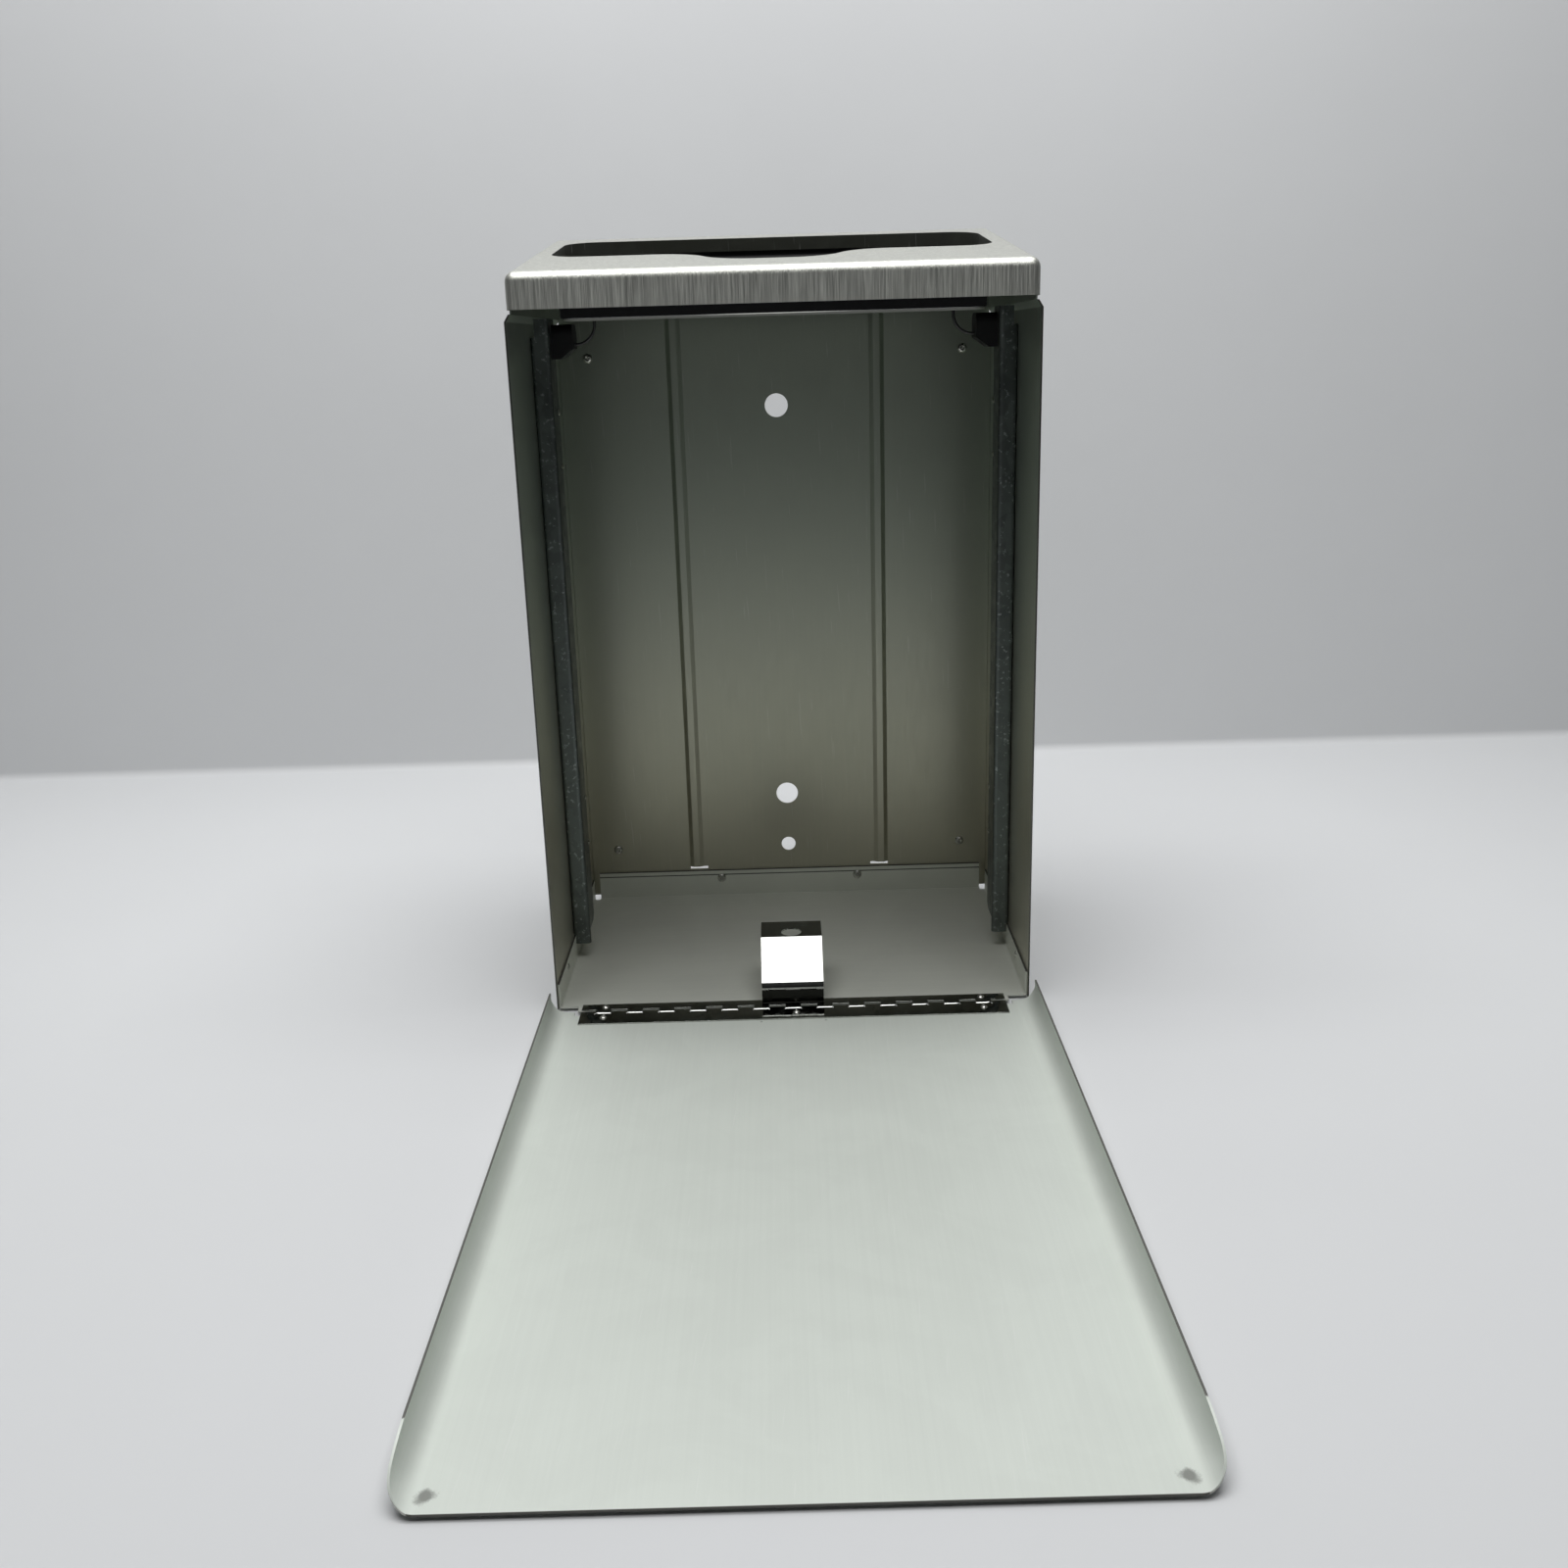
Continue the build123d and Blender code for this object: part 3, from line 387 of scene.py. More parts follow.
def sheet_steel(name, steel, stretch, inner, inner_rough, outer_mask=None, inner_metal=0.55, edge_shade_bands=(),
                scuffs=(), brushed=1.0, painted_front_light=1.0, shade_tones=PLAIN_TONES):
    """Steel sheet: a dull or matt inner face, a brushed outer face, dark sheared edges that carry painted
    shade, and rubbed spots.

    A band is an axis, the place of a sheared edge along it and its width; the band is painted dark, partly
    as the edge itself and partly as shade. A scuff is a centre and a radius, and shows on the inner face at
    both sides of the box. Given tones paint the colour darker and cooler towards the head of the panel as
    painted shade, and a front gain paints outer faces that look forward lighter as painted light.
    """
    material, tree, shader, place = blank(name)
    where = place["Object"]
    grain = use(tree, "Brushed grain", Position=where, Stretch=stretch)
    smudge = use(tree, "Handling smudges", Position=where, Size=0.07, Cover=0.45)["Mask"]
    hairs = use(tree, "Fine scratches", Position=where, Stretch=Vector(stretch) * 0.3)["Mask"]
    # painted shade when darker tones are given: the colour grows darker and cooler from the foot to the head
    # of the panel
    rise = remap(tree, split(tree, where)[2], PANEL_FOOT, PANEL_HEAD)
    foot_tone, head_shade_tone = [rgb([c * k for c, k in zip(inner, tone)]) for tone in shade_tones]
    drift = mixed(tree, rise, foot_tone, head_shade_tone)
    tint = mixed(tree, calc(tree, "MULTIPLY", grain["Bands"], 0.10), drift, rgb([c * 0.8 for c in inner]))
    rough = remap(tree, grain["Lines"], 0.0, 1.0, inner_rough - 0.03 * brushed, inner_rough + 0.05 * brushed)
    tree.links.new(rough, shader.inputs["Roughness"])
    shader.inputs["Metallic"].default_value = inner_metal
    height = calc(tree, "MULTIPLY", grain["Lines"], 0.25 * brushed)
    if outer_mask:
        out = outer_mask(tree, place)
        fine = calc(tree, "MULTIPLY", grain["Lines"], 0.75)
        broad = calc(tree, "MULTIPLY", grain["Bands"], 0.25)
        dark, light = [rgb([min(1, c * k) for c in steel.outside]) for k in (0.68, 1.32)]
        streak = mixed(tree, calc(tree, "ADD", fine, broad), dark, light)
        # painted light: outer faces that look forward are painted lighter, up to the given gain
        ahead = calc(tree, "MULTIPLY", split(tree, place["Normal"])[1], -1.0)
        front_light = remap(tree, ahead, 0.4, 1.0, 1.0, painted_front_light)
        tint = mixed(tree, out, tint, scaled(tree, streak, front_light))
        smooth, coarse = steel.outside_rough - 0.05, steel.outside_rough + 0.08
        outer_rough = remap(tree, grain["Lines"], 0.0, 1.0, smooth, coarse)
        tree.links.new(blended(tree, out, rough, outer_rough), shader.inputs["Roughness"])
        tree.links.new(blended(tree, out, inner_metal, 1.0), shader.inputs["Metallic"])
        height = blended(tree, out, height, grain["Lines"])
    tint = mixed(tree, calc(tree, "MULTIPLY", smudge, 0.04), tint, rgb(GREASE))
    tint = mixed(tree, calc(tree, "MULTIPLY", hairs, 0.20), tint, rgb(HAIRLINE))
    # painted shade: a dark band along each given edge, partly the sheared edge itself and partly shade
    for axis, edge, width in edge_shade_bands:
        mask = use(tree, "Edge band", Coordinate=split(tree, where)[axis], Edge=edge, Width=width)["Mask"]
        tint = mixed(tree, mask, tint, rgb(steel.cut))
    for centre, radius in scuffs:
        paired = put(tree, "VectorMath", {0: where}, operation="ABSOLUTE").outputs[0]
        middle = [abs(c) for c in centre]
        mask = use(tree, "Scuff spot", Position=paired, Centre=middle, Radius=radius)["Mask"]
        if outer_mask:
            mask = calc(tree, "MULTIPLY", mask, calc(tree, "SUBTRACT", 1.0, out))
        tint = mixed(tree, calc(tree, "MULTIPLY", mask, 0.75), tint, rgb(steel.cut))
    tree.links.new(tint, shader.inputs["Base Color"])
    bumped(tree, shader, height, 0.35, 0.00004)
    return material


def zinc_steel(hardware):
    """Dull galvanised channel with soft crystals and pale specks."""
    material, tree, shader, place = blank("Galvanised rail")
    mottle = use(tree, "Zinc mottle", Position=place["Object"], Crystal=0.007)
    base = hardware.zinc
    tint = mixed(tree, mottle["Tone"], rgb([c * 0.75 for c in base]), rgb([min(1, c * 1.3) for c in base]))
    tint = mixed(tree, calc(tree, "MULTIPLY", mottle["Specks"], 0.5), tint, rgb(ZINC_SPECK))
    tree.links.new(tint, shader.inputs["Base Color"])
    shader.inputs["Metallic"].default_value = 0.9
    tree.links.new(remap(tree, mottle["Tone"], 0.2, 0.8, 0.32, 0.5), shader.inputs["Roughness"])
    bumped(tree, shader, mottle["Height"], 0.2, 0.0003)
    return material


def polished_strip(name, hardware, ridge=0.0):
    """Mirror-polished strip with fingerprints; where a ridge is given, the strip below it is painted
    near-black as shade, and the ridge's crest is left bright.
    """
    material, tree, shader, place = blank(name)
    where = place["Object"]
    prints = use(tree, "Handling smudges", Position=where, Size=0.008, Cover=0.42)["Mask"]
    hairs = use(tree, "Fine scratches", Position=where, Stretch=(30, 900, 900))["Mask"]
    tint = mixed(tree, calc(tree, "MULTIPLY", prints, 0.3), rgb(hardware.polish), rgb(FINGERPRINT))
    # painted shade: below the ridge the strip is coloured near-black, and its crest is left out of it
    if ridge:
        height = split(tree, where)[2]
        foot = use(tree, "Edge band", Coordinate=height, Edge=ridge * 0.5, Width=ridge * 0.78)["Mask"]
        crest = use(tree, "Edge band", Coordinate=height, Edge=ridge, Width=0.8 * MM)["Mask"]
        riser_shade = calc(tree, "MAXIMUM", calc(tree, "SUBTRACT", foot, crest), 0.0)
        tint = mixed(tree, riser_shade, tint, rgb(RISER_SHADE))
    tree.links.new(tint, shader.inputs["Base Color"])
    shader.inputs["Metallic"].default_value = 1.0
    worn = calc(tree, "ADD", calc(tree, "MULTIPLY", prints, 0.16), calc(tree, "MULTIPLY", hairs, 0.08))
    tree.links.new(calc(tree, "ADD", worn, 0.05), shader.inputs["Roughness"])
    return material


def rivet_metal(hardware):
    """Bright rivet heads with dirt left in patches."""
    material, tree, shader, place = blank("Rivet metal")
    dirt = use(tree, "Handling smudges", Position=place["Object"], Size=0.002, Cover=0.5)["Mask"]
    tint = mixed(tree, calc(tree, "MULTIPLY", dirt, 0.5), rgb(hardware.rivet), rgb(RIVET_DIRT))
    tree.links.new(tint, shader.inputs["Base Color"])
    shader.inputs["Metallic"].default_value = 1.0
    tree.links.new(remap(tree, dirt, 0.0, 1.0, 0.18, 0.4), shader.inputs["Roughness"])
    return material


def black_moulding(hardware):
    """Black moulding with a fine skin and a little dust on top."""
    material, tree, shader, place = blank("Black moulding")
    skin = use(tree, "Moulded skin", Position=place["Object"], Pitch=0.0007)
    dust = use(tree, "Settled dust", Position=place["Object"], Normal=place["Normal"], Cover=0.12)["Mask"]
    tint = mixed(tree, dust, rgb(hardware.plastic), rgb(DUST))
    tree.links.new(tint, shader.inputs["Base Color"])
    shader.inputs["Specular IOR Level"].default_value = 0.2
    tree.links.new(remap(tree, skin["Sheen"], 0.2, 0.8, 0.48, 0.64), shader.inputs["Roughness"])
    bumped(tree, shader, skin["Height"], 0.25, 0.0002)
    return material


def spring_steel(hardware):
    """Dark drawn wire."""
    material, tree, shader, place = blank("Spring wire")
    drawn = use(tree, "Brushed grain", Position=place["Object"], Stretch=(1500, 1500, 60))
    tint = mixed(tree, drawn["Lines"], rgb(hardware.wire), rgb([c * 1.8 for c in hardware.wire]))
    tree.links.new(tint, shader.inputs["Base Color"])
    shader.inputs["Metallic"].default_value = 0.9
    tree.links.new(remap(tree, drawn["Lines"], 0.0, 1.0, 0.3, 0.45), shader.inputs["Roughness"])
    return material


def dress(material, slot, *nodes):
    """Gives CAD nodes a finish."""
    for name in nodes:
        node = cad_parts[name]
        node.data.materials.clear()
        node.data.materials.append(material)


# ---------------------------------------------------------------------------
# Mesh helpers
# ---------------------------------------------------------------------------

CREASE = math.radians(35)


def settle(name, mesh, body, slot, material, *replaced):
    """Turns a bmesh into a piece that rides on a body and stands for CAD nodes."""
    bmesh.ops.recalc_face_normals(mesh, faces=mesh.faces)
    data = bpy.data.meshes.new(name)
    mesh.to_mesh(data)
    mesh.free()
    data.shade_smooth()
    data.set_sharp_from_angle(angle=CREASE)
    piece = bpy.data.objects.new(name, data)
    bpy.context.scene.collection.objects.link(piece)
    data.materials.append(material)
    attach(piece, body)
    if replaced:
        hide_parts(*replaced)
    return piece


def turned(mesh, profile, place, way, steps=36):
    """Adds a closed body turned from (radius, height) points about a line through place."""
    aim = Vector(way).to_track_quat("Z", "Y").to_matrix()
    rings = []
    for radius, height in profile:
        count = steps if radius > 0 else 1
        angles = [2 * math.pi * k / count for k in range(count)]
        points = [Vector((radius * math.cos(a), radius * math.sin(a), height)) for a in angles]
        rings.append([mesh.verts.new(Vector(place) + aim @ point) for point in points])
    for first, second in zip(rings, rings[1:]):
        for k in range(steps):
            corners = [first[k % len(first)], first[(k + 1) % len(first)],
                       second[(k + 1) % len(second)], second[k % len(second)]]
            unique = list(dict.fromkeys(corners))
            if len(unique) > 2:
                mesh.faces.new(unique)


RIVET_REACH = 12 * MM
MATCH = 0.05 * MM


def rivet_places(name):
    """The corner points of each rivet of a CAD node, one list for each rivet."""
    groups = []
    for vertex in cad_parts[name].data.vertices:
        near = next((group for group in groups if (group[0] - vertex.co).length < RIVET_REACH), None)
        if near:
            near.append(vertex.co.copy())
        else:
            groups.append([vertex.co.copy()])
    return groups


RivetShape = namedtuple("RivetShape", "apex way depth rim rim_height tail tail_start")


def rivet_shape(points):
    """Reads one CAD rivet: apex, way in, depth, rim radius and height, and tail radius and start."""
    low = Vector([min(p[k] for p in points) for k in range(3)])
    high = Vector([max(p[k] for p in points) for k in range(3)])
    size, middle = high - low, (low + high) / 2
    axis = min(range(3), key=lambda k: abs(size[(k + 1) % 3] - size[(k + 2) % 3]))

    def spread(p):
        """How far a point is from the rivet's centre line."""
        away = p - middle
        away[axis] = 0
        return away.length

    ends = {sign: max(spread(p) for p in points if abs(p[axis] - edge[axis]) < 0.02 * MM)
            for sign, edge in ((1, low), (-1, high))}
    sign = 1 if ends[1] < ends[-1] else -1
    apex = middle.copy()
    apex[axis] = (low if sign > 0 else high)[axis]
    way = Vector([sign if k == axis else 0 for k in range(3)])
    outline = [(abs(p[axis] - apex[axis]), spread(p)) for p in points]
    depth, tail = size[axis], ends[-sign]
    rim = max(r for _, r in outline)
    rim_height = min(h for h, r in outline if r > rim - MATCH)
    tail_heights = [h for h, r in outline if abs(r - tail) < MATCH and h > rim_height + 0.3 * MM]
    return RivetShape(apex, way, depth, rim, rim_height, tail, min(tail_heights + [depth]))


# A blind rivet's head from its mandrel out to its rim. A point is a part of the rim's radius, then of the
# head's height measured down from its apex.
MANDREL = [(0, 0.52), (0.10, 0.44), (0.18, 0.50), (0.23, 0.62), (0.24, 1.0)]
BORE = [(0.36, 1.0), (0.37, 0.34), (0.41, 0.13)]
ROLLED_RIM = [(0.48, 0.04), (0.58, 0.07), (0.72, 0.24), (0.86, 0.50), (0.95, 0.75), (1.0, 0.92)]


def blind_rivet(mesh, points, shank):
    """Adds a blind rivet in the place of a CAD rivet: rolled rim, open bore and snapped mandrel."""
    cad = rivet_shape(points)
    outline = [(r * cad.rim, h * cad.rim_height) for r, h in MANDREL + BORE + ROLLED_RIM]
    outline += [(cad.rim, cad.rim_height), (shank, cad.rim_height)]
    if cad.tail > shank + 0.2 * MM:
        outline += [(shank, cad.tail_start), (cad.tail, cad.tail_start), (cad.tail, cad.depth)]
    else:
        outline += [(shank, cad.depth)]
    turned(mesh, outline + [(0, cad.depth)], cad.apex, cad.way)


CURL = math.radians(310)
CURL_STEPS = 22


def rolled_leaf(mesh, far, slot_edge, pin, spans, half, top, gauge, barrel):
    """Adds one sheet leaf as a single skin at its mid-thickness, curled under round the pin along spans."""
    side = 1 if far > pin.y else -1
    middle = top - gauge / 2
    radius = barrel - gauge / 2
    flat = [(far, middle), (far + (slot_edge - far) * 0.5, middle), (slot_edge, middle), (pin.y, middle)]
    curl = [(pin.y - side * radius * math.sin(a), pin.z + radius * math.cos(a))
            for a in [CURL * k / CURL_STEPS for k in range(1, CURL_STEPS + 1)]]
    path = flat + curl
    cuts = sorted({-half, half, *[x for pair in spans for x in pair]})
    grid = {}

    def corner(i, x):
        """The point of the leaf at one step of its path and one place across."""
        if (i, x) not in grid:
            grid[i, x] = mesh.verts.new((x, *path[i]))
        return grid[i, x]

    for x0, x1 in zip(cuts, cuts[1:]):
        knuckle = any(a <= (x0 + x1) / 2 <= b for a, b in spans)
        for i in range(len(path) - 1 if knuckle else 2):
            mesh.faces.new((corner(i, x0), corner(i, x1), corner(i + 1, x1), corner(i + 1, x0)))


def thicken(piece, gauge, soften):
    """Gives a single skin its gauge on both sides and eases its sheared edges."""
    solid = piece.modifiers.new("Gauge", "SOLIDIFY")
    solid.thickness, solid.offset = gauge, 0
    solid.use_even_offset = True
    edge = piece.modifiers.new("Softened edges", "BEVEL")
    edge.width, edge.segments = soften, 2
    edge.limit_method, edge.angle_limit = "ANGLE", math.radians(60)


# ---------------------------------------------------------------------------
# Operators
# ---------------------------------------------------------------------------

class DROPBOX_OT_effects(Operator):
    """Build the shared surface effects"""
    bl_idname = "dropbox.effects"
    bl_label = "Surface effects"

    def execute(self, context):
        for build in (brushed_grain, handling_smudges, fine_scratches, zinc_mottle, edge_band, scuff_spot,
                      settled_dust, moulded_skin):
            build()
        return {"FINISHED"}


def grain_stretch(steel, along):
    """Lines per metre along each axis, long along the named axis."""
    fine, long = 1 / steel.grain_pitch, 1 / steel.grain_length
    return tuple(long if axis == along else fine for axis in range(3))


class DROPBOX_OT_casing(Operator):
    """Finish the side walls, back panel and floor pan"""
    bl_idname = "dropbox.casing"
    bl_label = "Casing sheets"

    def execute(self, context):
        steel = context.scene.dropbox_steel
        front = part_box("side_wall_right")[0].y

        def wall_outside(tree, place):
            """1 on faces that look away from the box or to the rear."""
            rear = calc(tree, "GREATER_THAN", split(tree, place["Normal"])[1], 0.5)
            return calc(tree, "MAXIMUM", outward(tree, place, 0.0), rear)

        # The side walls and back panel are painted darker and cooler towards the top, as shade under the
        # hood.
        upright = grain_stretch(steel, 2)
        # The side walls' front edges carry a dark band of painted shade.
        wall = sheet_steel("Side wall steel", steel, upright, steel.casing, steel.casing_rough,
                           wall_outside, inner_metal=0.85, edge_shade_bands=[(1, front, 0.3 * MM)], shade_tones=HOOD_SHADE_TONES)
        dress(wall, "casing_steel", "side_wall_right", "side_wall_left")
        back = sheet_steel("Back panel steel", steel, upright, steel.panel, steel.casing_rough,
                           inner_metal=0.92, shade_tones=HOOD_SHADE_TONES)
        dress(back, "casing_steel", "back_panel")
        # The pan's flange tops carry dark bands of painted shade.
        edges = [(2, height, 0.5 * MM) for height in (steel.pan_rise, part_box("bottom_pan")[1].z)]
        satin = steel.casing_rough + 0.06
        pan = sheet_steel("Floor pan steel", steel, grain_stretch(steel, 0), steel.pan, satin,
                          inner_metal=0.30, brushed=0.3, edge_shade_bands=edges)
        dress(pan, "casing_steel", "bottom_pan")
        return {"FINISHED"}


class DROPBOX_OT_hood(Operator):
    """Finish the hood and the trap flap"""
    bl_idname = "dropbox.hood"
    bl_label = "Hood and flap"

    def execute(self, context):
        steel = context.scene.dropbox_steel

        def outer(tree, place):
            """1 on faces that look up or away from the middle of the hood."""
            x, y, z = split(tree, place["Normal"])
            side_x, side_y = [calc(tree, "SIGN", split(tree, place["Object"])[axis]) for axis in (0, 1)]
            away = calc(tree, "ADD", calc(tree, "MULTIPLY", x, side_x), calc(tree, "MULTIPLY", y, side_y))
            return calc(tree, "GREATER_THAN", calc(tree, "ADD", away, z), 0.02)

        # The hood's inner faces take a near-black colour as painted shade, and its forward faces are painted
        # lighter as painted light.
        hood = sheet_steel("Hood steel", steel, grain_stretch(steel, 2), steel.hood_inside_shade, 0.5, outer,
                           painted_front_light=1.5)
        dress(hood, "hood_steel", "hood")
        flap = sheet_steel("Flap steel", steel, grain_stretch(steel, 0), steel.outside, steel.outside_rough)
        dress(flap, "hood_steel", "drop_flap")
        return {"FINISHED"}


class DROPBOX_OT_door(Operator):
    """Finish the door"""
    bl_idname = "dropbox.door"
    bl_label = "Door"

    def execute(self, context):
        steel = context.scene.dropbox_steel
        low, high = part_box("door_panel")
        pin = (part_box("hinge_pin")[0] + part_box("hinge_pin")[1]) / 2
        # The door's flange tops and near edge carry dark bands of painted shade.
        edges = [(2, high.z, 0.35 * MM), (1, low.y, 0.35 * MM)]
        corner_scuff = (high.x - 13 * MM, low.y + 9 * MM, SHEET), 5 * MM
        hinge_scuff = (20 * MM, pin.y - 19 * MM, SHEET), 1.2 * MM
        door = sheet_steel("Door steel", steel, grain_stretch(steel, 1), steel.door, steel.door_rough,
                           lambda tree, place: outward(tree, place, -1.0), inner_metal=0.18, edge_shade_bands=edges,
                           scuffs=[corner_scuff, hinge_scuff])
        dress(door, "door_steel", "door_panel")
        return {"FINISHED"}


class DROPBOX_OT_hardware(Operator):
    """Finish the rails, hinge, clip, rivets, mouldings and wires"""
    bl_idname = "dropbox.hardware"
    bl_label = "Hardware"

    def execute(self, context):
        hardware = context.scene.dropbox_hardware
        dress(zinc_steel(hardware), "rail_steel", "rail_right", "rail_left")
        dress(polished_strip("Polished strip", hardware), "polished_steel", "hinge_pin")
        clip = polished_strip("Clip strip", hardware, hardware.clip_ridge)
        dress(clip, "polished_steel", "floor_clip")
        dress(rivet_metal(hardware), "rivet_steel", "rail_buttons_right", "rail_buttons_left",
              "pivot_block_rivets")
        dress(black_moulding(hardware), "black_plastic", "drop_chute", "pivot_block_right",
              "pivot_block_left")
        dress(spring_steel(hardware), "spring_wire", "flap_arm_right", "flap_arm_left", "flap_spring_right",
              "flap_spring_left")
        return {"FINISHED"}


SHORTEST_KNUCKLE = 1 * MM


class DROPBOX_OT_hinge(Operator):
    """Roll the two leaves of the piano hinge round their pin"""
    bl_idname = "dropbox.hinge"
    bl_label = "Piano hinge"

    def execute(self, context):
        hinge = context.scene.dropbox_hinge
        low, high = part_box("hinge_pin")
        pin, half = (low + high) / 2, high.x
        gauge, barrel, pitch = hinge.gauge, hinge.barrel, hinge.pitch
        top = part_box("hinge_body_leaf")[1].z
        strip = bpy.data.materials["Polished strip"]
        reach = barrel + hinge.slot
        count = math.ceil(half / pitch)
        leaves = (("hinge_body_leaf", "casing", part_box("hinge_body_leaf")[1].y, pin.y + reach, 0.0),
                  ("hinge_door_leaf", "door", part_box("hinge_door_leaf")[0].y, pin.y - reach, pitch / 2))
        for name, body, far, slot_edge, shift in leaves:
            spans = []
            for k in range(-count, count + 1):
                middle = k * pitch + shift
                start = max(middle - hinge.knuckle / 2, -half)
                end = min(middle + hinge.knuckle / 2, half)
                if end - start > SHORTEST_KNUCKLE:
                    spans.append((start, end))
            mesh = bmesh.new()
            rolled_leaf(mesh, far, slot_edge, pin, spans, half, top, gauge, barrel)
            piece = settle("rolled_" + name, mesh, body, "polished_steel", strip, name)
            thicken(piece, gauge, hinge.softened)
        return {"FINISHED"}


class DROPBOX_OT_rivets(Operator):
    """Set blind rivets in the sheets, the hinge and the clip"""
    bl_idname = "dropbox.rivets"
    bl_label = "Blind rivets"

    def execute(self, context):
        hardware = context.scene.dropbox_hardware
        metal = rivet_metal(hardware)
        casing = ("back_panel_rivets", "hood_rivets", "pan_back_rivets", "pan_side_rivets",
                  "hinge_body_rivets", "clip_rivet")
        for name in casing + ("hinge_door_rivets",):
            mesh = bmesh.new()
            for points in rivet_places(name):
                blind_rivet(mesh, points, hardware.shank)
            settle("blind_" + name, mesh, "casing" if name in casing else "door", "rivet_steel", metal, name)
        return {"FINISHED"}


PAPER_MIDDLE = (0, 0.2, 0.3)
PAPER_HALF_WIDTH = 6.0
PAPER_FRONT = -6.0
PAPER_TOP = 4.0
SWEEP_STEPS = 8
# Each light's place, the point that it is aimed at, and its width and depth.
OVERHEAD = (-0.05, -0.35, 1.9), (-0.05, -0.35, 0), (1.7, 1.5)
BACKDROP_WASH = (-0.05, -0.02, 1.55), (-0.05, 0.52, 0.75), (1.5, 0.3)


def paper(stage):
    """Pale paper, clear from behind and fading out far from the box."""
    material, tree, shader, place = blank("Studio paper")
    drift = cloud(tree, place["Object"], 1.3, 4.0)
    tint = mixed(tree, remap(tree, drift, 0.3, 0.7), rgb([c * 0.97 for c in stage.paper]), rgb(stage.paper))
    tree.links.new(tint, shader.inputs["Base Color"])
    shader.inputs["Roughness"].default_value = 0.75
    shader.inputs["Specular IOR Level"].default_value = 0.25
    bumped(tree, shader, cloud(tree, place["Object"], 3.0, 3.0), 0.15, 0.01)
    clear = put(tree, "BsdfTransparent")
    rear = put(tree, "NewGeometry").outputs["Backfacing"]
    away = distance(tree, place["Object"], PAPER_MIDDLE)
    fade = calc(tree, "MAXIMUM", rear, remap(tree, away, stage.paper_reach * 0.5, stage.paper_reach))
    see_through = put(tree, "MixShader", {0: fade, 1: shader.outputs[0], 2: clear.outputs[0]})
    tree.links.new(see_through.outputs[0], tree.nodes["Material Output"].inputs["Surface"])
    return material


def softbox(name, place, target, size, power):
    """A rectangular soft light aimed at a point."""
    light = bpy.data.lights.new(name, "AREA")
    light.shape = "RECTANGLE"
    light.size, light.size_y = size
    light.energy = power
    lamp = bpy.data.objects.new(name, light)
    bpy.context.scene.collection.objects.link(lamp)
    lamp.location = place
    lamp.rotation_euler = (Vector(target) - Vector(place)).to_track_quat("-Z", "Y").to_euler()


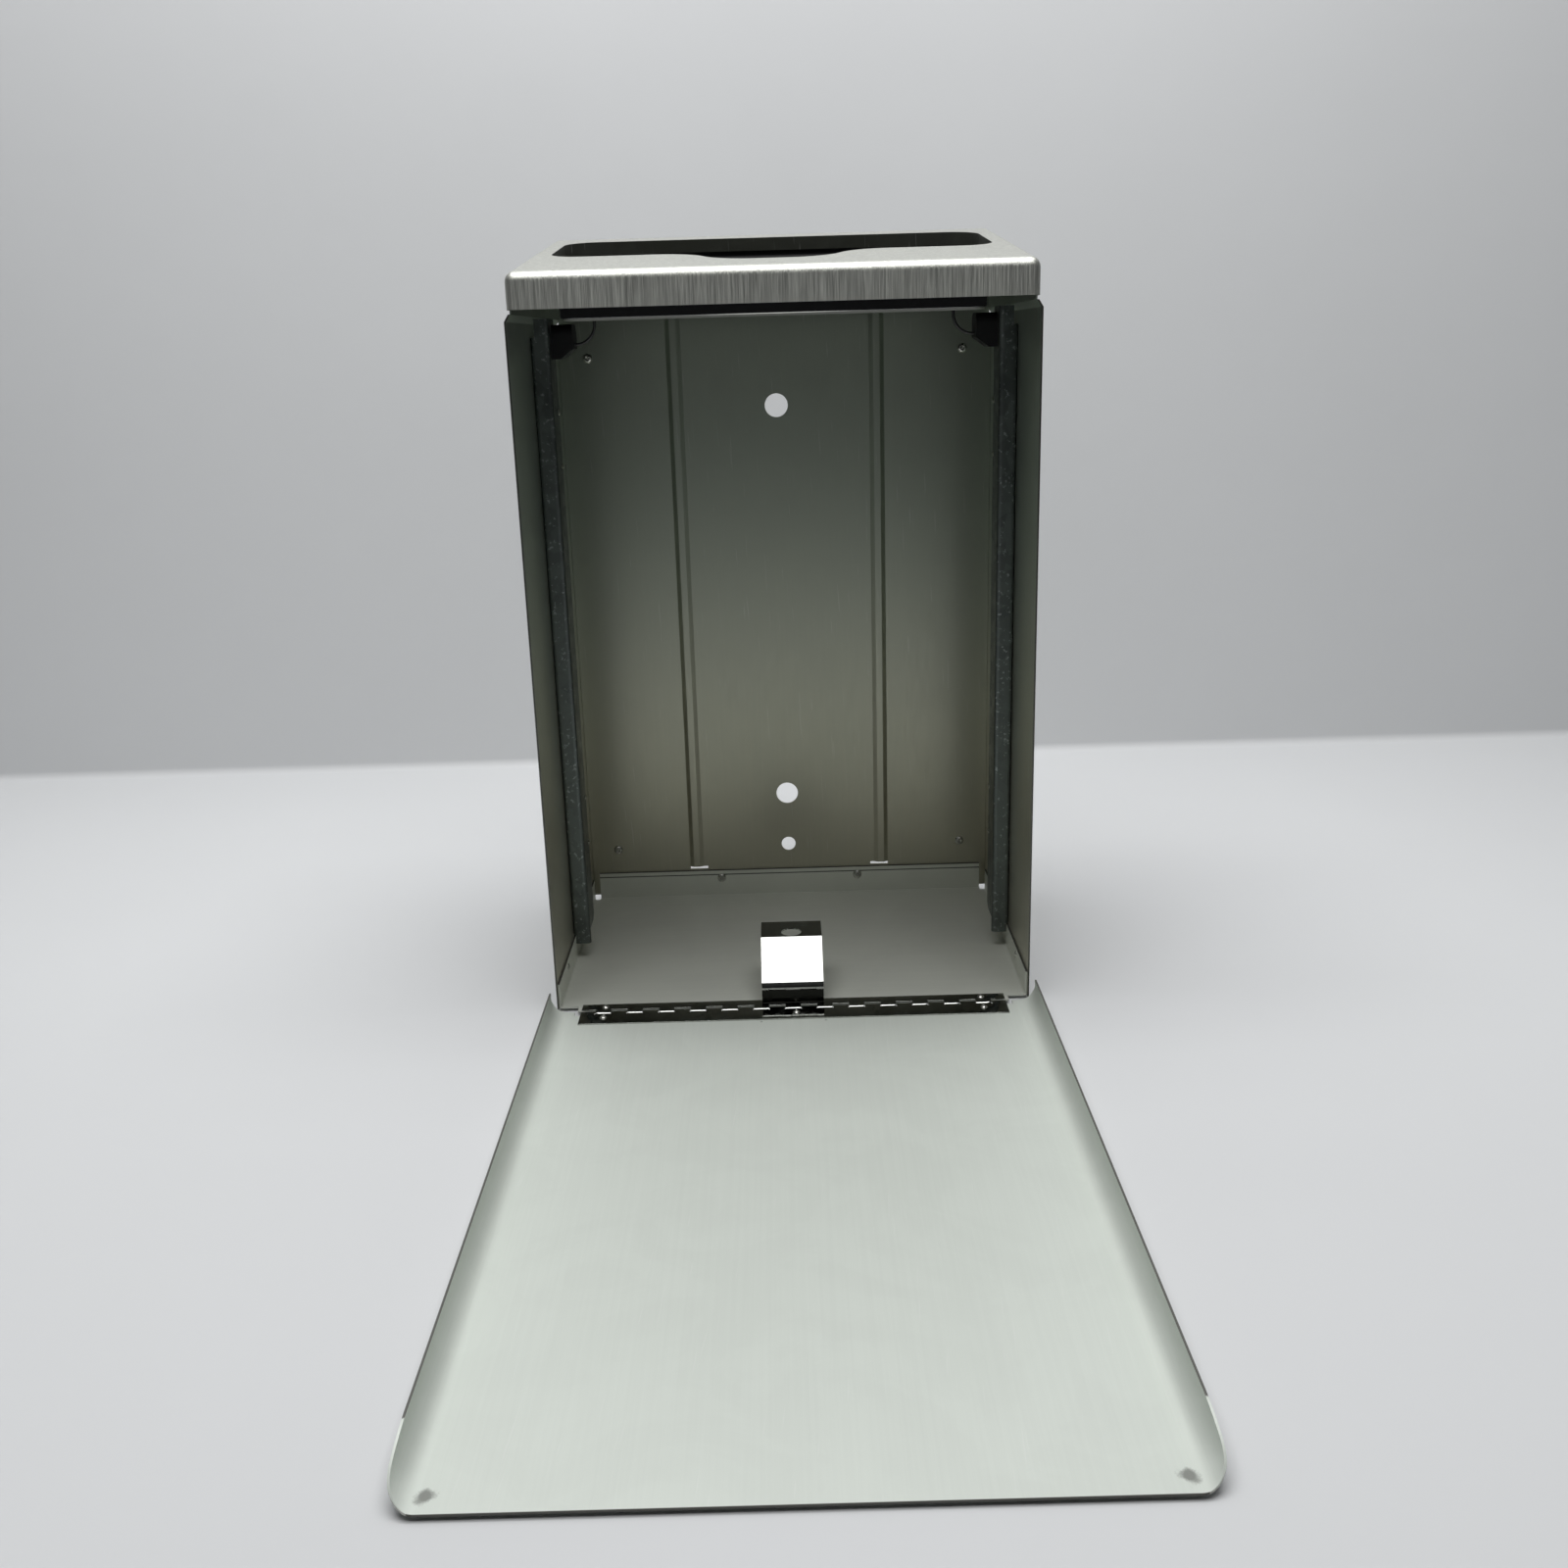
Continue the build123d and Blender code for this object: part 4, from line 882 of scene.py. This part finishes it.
class DROPBOX_OT_stage(Operator):
    """Set up the floor, backdrop, soft light and camera"""
    bl_idname = "dropbox.stage"
    bl_label = "Stage"

    def execute(self, context):
        stage = context.scene.dropbox_stage
        low, high = CAD_BOX
        wall_y, floor_z = high.y + stage.wall_gap, low.z
        radius = stage.sweep
        profile = [(PAPER_FRONT, floor_z)]
        for step in range(SWEEP_STEPS + 1):
            turn = math.pi / 2 * step / SWEEP_STEPS
            forward, up = radius * math.sin(turn), radius * math.cos(turn)
            profile.append((wall_y - radius + forward, floor_z + radius - up))
        profile.append((wall_y, PAPER_TOP))
        mesh = bmesh.new()
        sides = (-PAPER_HALF_WIDTH, PAPER_HALF_WIDTH)
        rows = [[mesh.verts.new((x, y, z)) for y, z in profile] for x in sides]
        for k in range(len(profile) - 1):
            mesh.faces.new((rows[0][k], rows[1][k], rows[1][k + 1], rows[0][k + 1]))
        sweep = bpy.data.meshes.new("studio_sweep")
        mesh.to_mesh(sweep)
        mesh.free()
        sweep.shade_smooth()
        floor = bpy.data.objects.new("studio_sweep", sweep)
        context.scene.collection.objects.link(floor)
        floor.data.materials.append(paper(stage))

        softbox("overhead", *OVERHEAD, stage.key_power)
        softbox("backdrop_wash", *BACKDROP_WASH, stage.wash_power)
        world = bpy.data.worlds.new("studio")
        world.use_nodes = True
        sky = world.node_tree
        background = sky.nodes["Background"]
        background.inputs["Color"].default_value = (0.96, 0.99, 1.0, 1)
        seen = put(sky, "LightPath").outputs["Is Camera Ray"]
        sky.links.new(blended(sky, seen, stage.ambient, stage.surround), background.inputs["Strength"])
        context.scene.world = world
        context.scene.view_settings.view_transform = "Standard"

        lens = bpy.data.cameras.new("camera")
        lens.sensor_width = 36.0
        lens.lens = stage.lens
        camera = bpy.data.objects.new("camera", lens)
        context.scene.collection.objects.link(camera)
        turn = Matrix.Rotation(stage.pan, 4, "Z") @ Matrix.Rotation(math.pi / 2 - stage.tilt, 4, "X")
        camera.matrix_world = Matrix.Translation(stage.eye) @ turn @ Matrix.Rotation(stage.roll, 4, "Z")
        context.scene.camera = camera
        return {"FINISHED"}


STEPS = (DROPBOX_OT_stage, DROPBOX_OT_effects, DROPBOX_OT_casing, DROPBOX_OT_hood, DROPBOX_OT_door,
         DROPBOX_OT_hardware, DROPBOX_OT_hinge, DROPBOX_OT_rivets)
GROUPS = {"dropbox_steel": DropBoxSteel, "dropbox_hardware": DropBoxHardware, "dropbox_hinge": DropBoxHinge,
          "dropbox_stage": DropBoxStage}


class DROPBOX_PT_sidebar(Panel):
    """Lists the sizes and colours, and a button for each operator"""
    bl_idname = "DROPBOX_PT_sidebar"
    bl_label = "Drop Box"
    bl_space_type = "VIEW_3D"
    bl_region_type = "UI"
    bl_category = "Drop Box"

    def draw(self, context):
        for group in GROUPS:
            settings = getattr(context.scene, group)
            box = self.layout.box()
            for key in settings.bl_rna.properties.keys():
                if key not in ("rna_type", "name"):
                    box.prop(settings, key)
        for step in STEPS:
            self.layout.operator(step.bl_idname)


def register():
    """Adds the property groups, the operators and the sidebar panel."""
    for group in GROUPS.values():
        bpy.utils.register_class(group)
    for name, group in GROUPS.items():
        setattr(bpy.types.Scene, name, PointerProperty(type=group))
    for step in STEPS:
        bpy.utils.register_class(step)
    bpy.utils.register_class(DROPBOX_PT_sidebar)


def unregister():
    """Takes them out again, in the opposite order."""
    bpy.utils.unregister_class(DROPBOX_PT_sidebar)
    for step in reversed(STEPS):
        bpy.utils.unregister_class(step)
    for name, group in GROUPS.items():
        delattr(bpy.types.Scene, name)
        bpy.utils.unregister_class(group)


def main():
    """Builds the whole model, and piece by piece."""
    register()
    for step in STEPS:
        family, name = step.bl_idname.split(".")
        getattr(getattr(bpy.ops, family), name)()


if __name__ == "__main__":
    main()
